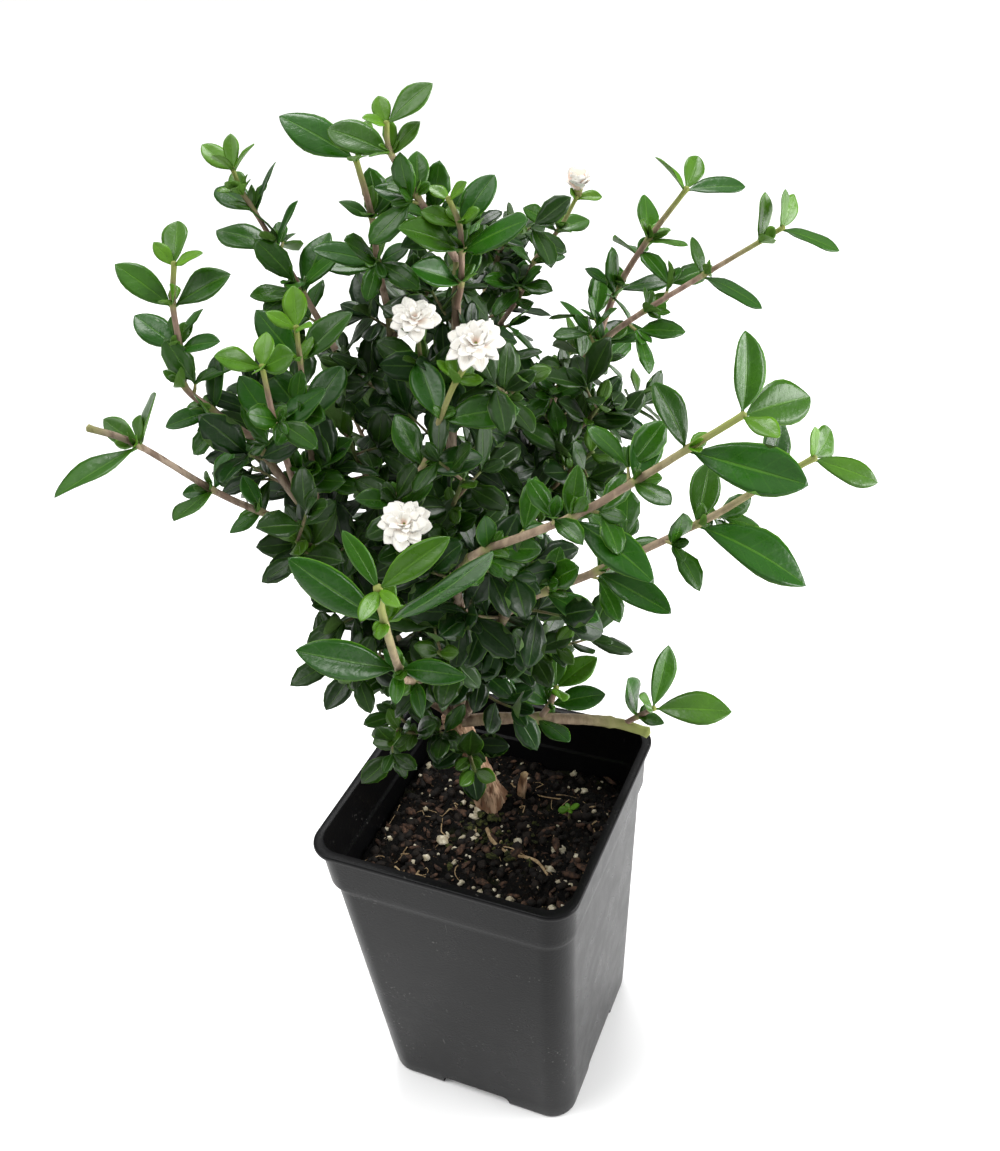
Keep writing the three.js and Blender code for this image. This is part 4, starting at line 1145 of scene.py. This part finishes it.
def build_trunk():
    """The trunk: a tube whose radius flares into three roots at the soil and carries long flakes of
    bark, each a step of noise stretched along the trunk."""
    start, end, corners = STEMS["trunk"]
    path, _ = smooth_path(corners, 0.9)
    rows, sides = len(path), 60
    angle = 2 * np.pi * np.arange(sides)[None] / sides
    z = path[:, 2:3]
    share = np.linspace(0, 1, rows)[:, None]
    flare = np.exp(-np.clip(z - 107, 0, None) / 5)
    grid = np.stack(np.broadcast_arrays(np.cos(angle) * 2.1, np.sin(angle) * 2.1, z * 0.085), -1)
    ridge = layered_noise(grid, 31, 3)
    flake = smoothstep(0.02, 0.14, layered_noise(grid * [1.6, 1.6, 1.3], 47, 3))
    lobes = 1 + flare * (0.24 + 0.2 * np.cos(3 * angle + 1.0))
    radii = (start + (end - start) * share) * lobes * (1 + 0.1 * ridge) + 0.42 * flake - 0.1
    uv = np.stack(np.broadcast_arrays(np.zeros_like(angle), share * 0.5), -1)
    add_piece("trunk_wood", [tube(path, radii, sides, uv)], [look("bark")], "bark", ["trunk"])


def build_stems():
    """The main stems, each with leafy side shoots that fill the middle of the crown."""
    plant = bpy.context.scene.serissa_plant
    # painted shade: the side shoots inside the crown take the darker copies of the leaf and shoot colours
    looks = [look("inner_leaf"), look("stem"), look("shaded_inner_shoot")]
    spacing = plant.sprig_spacing / MM
    for name, (start, end, corners) in STEMS.items():
        if name == "trunk":
            continue
        draw = rng_for(name)
        parts = [woody(corners, start, end, sides=12, swell=0.12, rough=0.16, seed=5, slot=1)]
        path = smooth_path(corners, 2.0)[0]
        parts += sprigs_along(path, end, spacing, 18, (5, 18), draw, {"age": 1.0}, 0.2, wood_slot=2)
        add_piece(f"{name}_wood", parts, looks, "stem", [name])


def cad_points(name):
    """Corner points of a CAD node, in millimetres."""
    vertices = frame["nodes"][name].data.vertices
    points = np.empty(len(vertices) * 3, np.float32)
    vertices.foreach_get("co", points)
    return points.reshape(-1, 3).astype(float) / MM


def fitted(points, base, axis, roll, length, spread=LEAF_SPREAD, twist=0.0):
    """The try whose leaf tip is a corner of the CAD node, as (along, face, length); a leaf that the
    node leaves out comes back at its place but short."""
    best = None
    for added_roll, added_spread, factor in LEAF_TRIES:
        along, face = leaf_frame(base, axis, roll + added_roll, spread + added_spread, twist)
        size = length * factor
        tip = base + size * (along - LEAF_SAG * face)
        miss = np.linalg.norm(points - tip, axis=1).min()
        if best is None or miss < best[0]:
            best = (miss, along, face, size)
    if best[0] < FIT_TOLERANCE:
        return best[1:]
    return *leaf_frame(base, axis, roll, spread, twist), length * LEFT_OUT_SHARE


def twig_nodes(first_roll, size, pairs, route):
    """An inner twig written out as nodes: evenly spaced pairs, each a quarter turn on from the last."""
    corners = np.array(route, float)
    reach = np.concatenate([[0], np.cumsum(np.linalg.norm(np.diff(corners, axis=0), axis=1))])
    nodes = [list(route[0])]
    for pair in range(pairs):
        share = (pair + 1) / pairs
        last = pair == pairs - 1
        length = size * (0.62 if last else 0.85 + 0.25 * math.sin(math.pi * share))
        spread = TWIG_TIP_SPREAD if last else TWIG_SPREAD
        roll = first_roll + 90 * pair
        place = [float(np.interp(share * reach[-1], reach, corners[:, k])) for k in range(3)]
        nodes.append([*place, [roll, length, spread], [roll + 180, 0.92 * length, spread]])
    return nodes


def directions(points):
    """Direction of a line at each of its points: from the one before to the one after."""
    ends = np.concatenate([points[:1], points, points[-1:]])
    return unit(ends[2:] - ends[:-2])


def shoot_parts(name, radii, nodes, form, inner, ratio=None):
    """One leafy shoot: its wood, the leaves that the CAD node has, and small leaves in their axils."""
    draw = rng_for(name)
    places = np.array([row[:3] for row in nodes], float)
    axes = directions(places)
    known = cad_points(name)
    parts = [woody(places, *radii, seed=len(name), slot=1)]
    last = len(nodes) - 1
    for index, row in enumerate(nodes):
        axis = axes[index]
        base = places[index] - axis * LEAF_SET_BACK
        share = index / last
        age = 1 - smoothstep(0.55, 1.0, share) * (0.5 if inner else 0.95)
        for spec in row[3:]:
            along, face, length = fitted(known, base, axis, *spec)
            tone = draw.uniform(0, 1)
            grown = age + (1 - age) * 0.75 * smoothstep(9, 17, length)
            facts = {"age": float(np.clip(grown + draw.normal(0, 0.1), 0, 1)), "tone": tone}
            parts.append(leaf(form, base, along, face, length, draw, facts, ratio))
        if len(row) > 3 and index < last:
            roll = row[3][0] + 90
            size = 7.5 if inner else 6.5
            for turn in (0, 180) * 2:
                angle = roll + turn + draw.normal(0, 25)
                along, face = leaf_frame(places[index], axis, angle, draw.uniform(28, 62), draw.normal(0, 15))
                facts = {"age": float(np.clip(age - 0.25, 0, 1)), "tone": draw.uniform(0, 1)}
                reached = size * draw.uniform(0.6, 1.3)
                parts.append(leaf(SMALL_LEAF, places[index], along, face, reached, draw, facts, stalk=0.3))
    return parts, places, draw


def build_shoots():
    """The shoots that show on the outside of the crown."""
    slots = {row["node"]: row["material_slot"] for row in frame["record"]["subparts"]}
    for name, (start, end, nodes) in SHOOTS.items():
        ratio = NARROW_RATIO if name == "foreground_shoot" else None
        parts, places, draw = shoot_parts(name, (start, end), nodes, FINE_LEAF, False, ratio)
        if name not in BARE_SHOOTS:
            path = smooth_path(places, 2.0)[0]
            parts += sprigs_along(path[:int(len(path) * 0.7)], start, 12, 14, (2, 6), draw, {"age": 0.9})
        # painted light: the front and right shoots take the paler copy of the shoot bark
        wood = look("lit_pale_shoot" if name in LIT_PALE_SHOOTS else "stem" if name in OLD_SHOOTS else "shoot")
        add_piece(f"{name}_leafy", parts, [look(slots[name]), wood], slots[name], [name])


def build_twigs():
    """The short twigs inside the crown, with side shoots between their nodes."""
    spacing = bpy.context.scene.serissa_plant.sprig_spacing / MM * 1.2
    for name, row in TWIGS.items():
        parts, places, draw = shoot_parts(name, TWIG_RADII, twig_nodes(*row), PLAIN_LEAF, True)
        if name not in BARE_SHOOTS:
            path = smooth_path(places, 2.0)[0]
            parts += sprigs_along(path, 0.7, spacing, 15, (4, 12), draw, {"age": 0.9}, 0.1)
        # painted shade: the twigs inside the crown take the darker copies of the leaf and shoot colours
        add_piece(f"{name}_leafy", parts, [look("inner_leaf"), look("shaded_inner_shoot")], "inner_leaf", [name])


def flower_parts(centre, facing, whorls, length, draw, seat=0.1):
    """A double flower: whorls of (petal count, rise in degrees, share of the length), each petal a
    blade that leans out from the middle, on a short green cup."""
    facing = unit(facing)
    reference = unit(np.cross(facing, UP))
    behind = np.cross(facing, reference)
    parts = []
    for count, rise, share in whorls:
        first = draw.uniform(0, 360)
        for k in range(count):
            turn = math.radians(first + 360 * (k + draw.normal(0, 0.1)) / count)
            outward = math.cos(turn) * reference + math.sin(turn) * behind
            lift = math.radians(rise + draw.normal(0, 6))
            along = math.cos(lift) * outward + math.sin(lift) * facing
            face = math.cos(lift) * facing - math.sin(lift) * outward
            base = centre + outward * 0.06 * length - facing * seat * length
            size = length * share * draw.uniform(0.9, 1.08)
            facts = {"tone": 0.2}
            parts.append(leaf(SMALL_LEAF, base, along, face, size, draw, facts, PETAL_RATIO, stalk=0.9))
    cup = [centre - facing * 0.34 * length, centre - facing * 0.2 * length, centre - facing * seat * length]
    parts.append(woody(cup, 0.09 * length, 0.16 * length, step=0.6, sides=10, swell=0, rough=0, slot=1))
    return parts


def build_flowers():
    """Three open double flowers, the bud, its petals round a plain heart, and a withered flower."""
    open_whorls = ((9, 6, 1.0), (8, 26, 0.86), (7, 46, 0.68), (6, 68, 0.5))
    green = look("shoot")
    for name, (centre, length) in FLOWERS.items():
        parts = flower_parts(np.array(centre, float), FLOWER_FACING, open_whorls, length, rng_for(name))
        add_piece(f"{name}_petals", parts, [look("petal"), green], "petal", [name])
    bud_whorls = ((7, 56, 0.66), (7, 70, 0.76), (6, 82, 0.76))
    base = np.array(BUD_BASE) + UP * 1.2
    parts = flower_parts(base, UP + FRONT * 0.3, bud_whorls, 2.5 * BUD_RADIUS, rng_for("flower_bud"), 0.0)
    heart = np.array([0.92, 0.92, 0.98]) * BUD_RADIUS
    turn = random_turn(rng_for("bud_heart"), 0.0)
    parts.append(lump(base + UP * heart[2], heart, turn, rows=9, count=16, rough=0.12, seed=7))
    add_piece("flower_bud_petals", parts, [look("petal"), green], "petal", ["flower_bud"])
    whorls = ((6, 30, 1.0), (5, 62, 0.8))
    parts = flower_parts(np.array(WITHERED_AT, float), UP, whorls, 4.2, rng_for("withered_flower"))
    add_piece("withered_flower", parts, [look("withered"), look("withered")], "bark")


def build_small_pieces():
    """The cut stub, the root on the soil, the seedling and the largest perlite grain."""
    line = [[2, 20, 103], [3, 22, 112], [4, 24, 121]]
    stub = woody(line, 1.8, 1.5, step=0.8, sides=16, swell=0.1, seed=3, rough=0.3)
    add_piece("cut_stub_wood", [stub], [look("bark")], "bark", ["cut_stub"])
    line = [[-3, 1, 111.2], [2, -4, 110.4], [10, -7, 110], [20, -7, 110], [29, -14, 109.6]]
    root = woody(line, 0.75, 0.4, step=1.2, sides=8, swell=0.1, seed=8, rough=0.3)
    add_piece("surface_root_fibre", [root], [look("root")], "root", ["surface_root"])
    foot = np.array([24.0, 18.0, 106.0])
    top = foot + [0.6, -0.8, 9.0]
    parts = [woody([foot, (foot + top) / 2, top], 0.55, 0.4, step=1.5, swell=0, rough=0, slot=1)]
    draw = rng_for("seedling")
    for roll in (10, 190, 100, 280):
        along, face = leaf_frame(top, UP, roll, 65)
        size = 4.6 if roll % 180 == 10 else 3.2
        parts.append(leaf(PLAIN_LEAF, top - UP * 0.6, along, face, size, draw, {"age": 0.1}, 0.66, stalk=0.3))
    add_piece("seedling_green", parts, [look("young_leaf"), look("shoot")], "young_leaf", ["seedling"])
    centre, radii = np.array([-17, -9, 110.2]), np.array([2.4, 1.95, 1.7])
    turn = random_turn(rng_for("grain"), 0.1)
    grain = lump(centre, radii, turn, rows=9, count=16, rough=0.3, seed=12, tone=0.1)
    add_piece("perlite_grain_rough", [grain], [look("perlite")], "perlite", ["perlite_grain"])


# ------------------------------------------------------------------ stage

def area_light(name, place, target, width, height, power):
    """A soft rectangular lamp aimed at a point; sizes and places in metres."""
    data = bpy.data.lights.new(name, "AREA")
    data.shape = "RECTANGLE"
    data.size, data.size_y = width, height
    data.energy = power
    lamp = bpy.data.objects.new(name, data)
    lamp.location = place
    lamp.rotation_euler = (Vector(target) - Vector(place)).to_track_quat("-Z", "Y").to_euler()
    bpy.context.scene.collection.objects.link(lamp)


def build_stage():
    """A pale floor, soft studio light from above, the left and the far right, and the camera."""
    scene = bpy.context.scene
    stage = scene.serissa_stage
    half = 6.0
    corners = [(x * half, y * half, 0) for x, y in ((-1, -1), (1, -1), (1, 1), (-1, 1))]
    mesh = bpy.data.meshes.new("studio_floor")
    mesh.from_pydata(corners, [], [(0, 1, 2, 3)])
    floor = bpy.data.objects.new("studio_floor", mesh)
    scene.collection.objects.link(floor)
    material, tree, shader = new_material("studio_paper", Roughness=0.95, Specular_IOR_Level=0.1)
    dim = solid([c * 0.985 for c in stage.floor])
    paper = mix(tree, speckle(tree, 30, 0.3, 0.7), solid(stage.floor), dim)
    finish_material(tree, shader, paper)
    mesh.materials.append(material)
    floor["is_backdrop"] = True

    world = bpy.data.worlds.new("studio")
    world.use_nodes = True
    sky = world.node_tree
    direction = node(sky, "ShaderNodeTexCoord").outputs["Generated"]
    rise = node(sky, "ShaderNodeSeparateXYZ", {0: direction}).outputs[2]
    glow = ramp(sky, rise, 0.1, 0.95, stage.horizon_strength, stage.world_strength)
    seen = node(sky, "ShaderNodeLightPath").outputs["Is Camera Ray"]
    glow = maths(sky, "MAXIMUM", glow, maths(sky, "MULTIPLY", seen, stage.backdrop))
    sky.links.new(glow, sky.nodes["Background"].inputs["Strength"])
    sky.nodes["Background"].inputs["Color"].default_value = (1, 1, 1, 1)
    scene.world = world
    middle = (0, 0, 0.2)
    area_light("top_light", (-0.2, 0.5, 1.2), middle, 0.5, 0.5, stage.top_power)
    area_light("left_light", (-1.1, -0.7, 0.9), middle, 0.7, 0.9, stage.side_power)
    sun = bpy.data.lights.new("sky_light", "SUN")
    sun.energy, sun.angle = stage.sun_strength, math.radians(35)
    lamp = bpy.data.objects.new("sky_light", sun)
    lamp.rotation_euler = Vector((-0.45, -0.35, 1)).to_track_quat("Z", "Y").to_euler()
    scene.collection.objects.link(lamp)
    area_light("right_light", (1.2, 0.35, 0.45), (0, 0, 0.08), 0.9, 0.7, stage.right_power)

    azimuth, elevation, roll = (math.radians(a) for a in (CAMERA_AZIMUTH, CAMERA_ELEVATION, CAMERA_ROLL))
    flat = math.cos(elevation)
    back = Vector((math.sin(azimuth) * flat, -math.cos(azimuth) * flat, math.sin(elevation)))
    right = (-back).cross(Vector((0, 0, 1))).normalized()
    top = right.cross(-back)
    cos, sin = math.cos(roll), math.sin(roll)
    right, top = cos * right + sin * top, cos * top - sin * right
    data = bpy.data.cameras.new("camera")
    data.lens, data.sensor_width = CAMERA_LENS, CAMERA_SENSOR
    camera = bpy.data.objects.new("camera", data)
    camera.matrix_world = Matrix.Translation(CAMERA_PLACE) @ Matrix((right, top, back)).transposed().to_4x4()
    scene.collection.objects.link(camera)
    scene.camera = camera
    scene.view_settings.view_transform = "Standard"


# ------------------------------------------------------------------ add-on

def length(name, description, default):
    """A length property, in metres."""
    return FloatProperty(name=name, description=description, default=default, min=0, unit="LENGTH",
                         subtype="DISTANCE", precision=4)


def colour(name, description, default):
    """A linear colour property."""
    return FloatVectorProperty(name=name, description=description, default=default, subtype="COLOR",
                               min=0, max=1)


def strength(name, description, default):
    """A light's strength."""
    return FloatProperty(name=name, description=description, default=default, min=0)


class SerissaPot(bpy.types.PropertyGroup):
    """Sizes of the pot."""
    height: length("Height", "From the ground to the lip", 0.135)
    lip_width: length("Lip width", "Across the lip", 0.1)
    band_depth: length("Band depth", "From the top of the lip to the bottom of the band", 0.0195)
    body_width: length("Body width", "Across the tapered body just under the band", 0.0922)
    base_width: length("Base width", "Across the foot", 0.079)
    corner_radius: length("Corner radius", "Radius of the four upright corners", 0.0102)
    wall: length("Wall", "Thickness of the plastic", 0.0016)
    foot_height: length("Foot height", "Height of the notches between the feet", 0.0045)
    soil_level: length("Soil level", "Height of the soil's surface", 0.109)


class SerissaPlant(bpy.types.PropertyGroup):
    """Sizes and counts of the plant."""
    leaf_ratio: FloatProperty(name="Leaf width", description="Width of a small leaf over its length",
                              default=0.59, min=0.1, max=1, subtype="FACTOR")
    leaf_fold: FloatProperty(name="Leaf fold", description="How far a leaf's halves rise from its midrib",
                             default=0.3, min=0, max=1, subtype="FACTOR")
    leaf_thickness: length("Leaf thickness", "Thickness of a blade near its stalk", 0.00042)
    sprig_spacing: length("Side shoot spacing", "Distance between side shoots along a stem", 0.009)
    perlite_count: IntProperty(name="Perlite grains", description="Grains on the soil", default=150, min=1)
    chip_count: IntProperty(name="Bark chips", description="Bark chips on the soil, and half the peat lumps",
                            default=330, min=1)
    seed: IntProperty(name="Seed", description="Seed of every random choice", default=7, min=0)


class SerissaColours(bpy.types.PropertyGroup):
    """Colours of the pot and plant."""
    pot: colour("Pot", "Plastic", rgb(13, 13, 14))
    soil: colour("Soil", "Wet peat", rgb(6, 5, 4))
    leaf: colour("Leaf", "Grown leaves", rgb(32, 82, 8))
    young_leaf: colour("Young leaf", "Leaves at the tips", rgb(90, 138, 22))
    # painted shade: a darker copy of the leaf colour for the crown's shaded inside
    inner_leaf: colour("Inner leaf", "Leaves inside the crown", rgb(15, 50, 4))
    petal: colour("Petal", "Flowers", rgb(250, 247, 240))


class SerissaStage(bpy.types.PropertyGroup):
    """Floor and light."""
    floor: colour("Floor", "Paper", rgb(251, 251, 251))
    world_strength: strength("Room light", "Strength of the light from above", 1.0)
    horizon_strength: strength("Horizon", "Strength of the light from low down", 0.12)
    backdrop: strength("Backdrop", "How bright the plain backdrop looks", 0.93)
    sun_strength: strength("Sky light", "Soft light from the upper left", 1.3)
    top_power: strength("Top light", "Watts of the lamp above", 8)
    side_power: strength("Left light", "Watts of the lamp on the left", 4)
    right_power: strength("Right light", "Watts of the lamp on the far right", 22)


class BuildSteps:
    """What every operator does: its steps in order."""
    steps = ()

    def execute(self, context):
        for step in self.steps:
            step()
        return {"FINISHED"}


class SERISSA_OT_pot(BuildSteps, bpy.types.Operator):
    """Build the pot"""
    bl_idname, bl_label = "serissa.pot", "Pot"
    steps = (build_pot,)


class SERISSA_OT_soil(BuildSteps, bpy.types.Operator):
    """Build the soil and what lies on it"""
    bl_idname, bl_label = "serissa.soil", "Soil"
    steps = (build_soil, build_litter)


class SERISSA_OT_wood(BuildSteps, bpy.types.Operator):
    """Build the trunk and main stems"""
    bl_idname, bl_label = "serissa.wood", "Trunk and stems"
    steps = (build_trunk, build_stems)


class SERISSA_OT_shoots(BuildSteps, bpy.types.Operator):
    """Build the leafy shoots on the outside of the crown"""
    bl_idname, bl_label = "serissa.shoots", "Shoots"
    steps = (build_shoots,)


class SERISSA_OT_twigs(BuildSteps, bpy.types.Operator):
    """Build the leafy twigs inside the crown"""
    bl_idname, bl_label = "serissa.twigs", "Inner twigs"
    steps = (build_twigs,)


class SERISSA_OT_flowers(BuildSteps, bpy.types.Operator):
    """Build the flowers and the bud"""
    bl_idname, bl_label = "serissa.flowers", "Flowers"
    steps = (build_flowers,)


class SERISSA_OT_small(BuildSteps, bpy.types.Operator):
    """Build the small pieces on the soil"""
    bl_idname, bl_label = "serissa.small", "Small pieces"
    steps = (build_small_pieces,)


class SERISSA_OT_stage(BuildSteps, bpy.types.Operator):
    """Set up the floor, light and camera"""
    bl_idname, bl_label = "serissa.stage", "Stage"
    steps = (build_stage,)


OPERATORS = (
    SERISSA_OT_pot, SERISSA_OT_soil, SERISSA_OT_wood, SERISSA_OT_shoots,
    SERISSA_OT_twigs, SERISSA_OT_flowers, SERISSA_OT_small, SERISSA_OT_stage,
)
GROUPS = {
    "serissa_pot": SerissaPot, "serissa_plant": SerissaPlant,
    "serissa_colours": SerissaColours, "serissa_stage": SerissaStage,
}


class SERISSA_PT_panel(bpy.types.Panel):
    """Lists the sizes, the colours and the operators."""
    bl_idname = "SERISSA_PT_panel"
    bl_label = "Serissa"
    bl_space_type = "VIEW_3D"
    bl_region_type = "UI"
    bl_category = "Serissa"

    def draw(self, context):
        for label, group in GROUPS.items():
            box = self.layout.box()
            for key in group.__annotations__:
                box.prop(getattr(context.scene, label), key)
        for operator in OPERATORS:
            self.layout.operator(operator.bl_idname)


def register():
    """Register the classes and hang the property groups on the scene."""
    for cls in (*GROUPS.values(), *OPERATORS, SERISSA_PT_panel):
        bpy.utils.register_class(cls)
    for label, group in GROUPS.items():
        setattr(bpy.types.Scene, label, PointerProperty(type=group))


def unregister():
    """Undo register."""
    for label in GROUPS:
        delattr(bpy.types.Scene, label)
    for cls in reversed((*GROUPS.values(), *OPERATORS, SERISSA_PT_panel)):
        bpy.utils.unregister_class(cls)


def main():
    """Build every piece in order."""
    register()
    for name in ("pot", "soil", "wood", "shoots", "twigs", "flowers", "small", "stage"):
        getattr(bpy.ops.serissa, name)()
    boxes = {"cad": CAD_BOX, "visual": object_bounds()}
    {key: [list(low), list(high)] for key, (low, high) in boxes.items()}


if __name__ == "__main__":
    main()
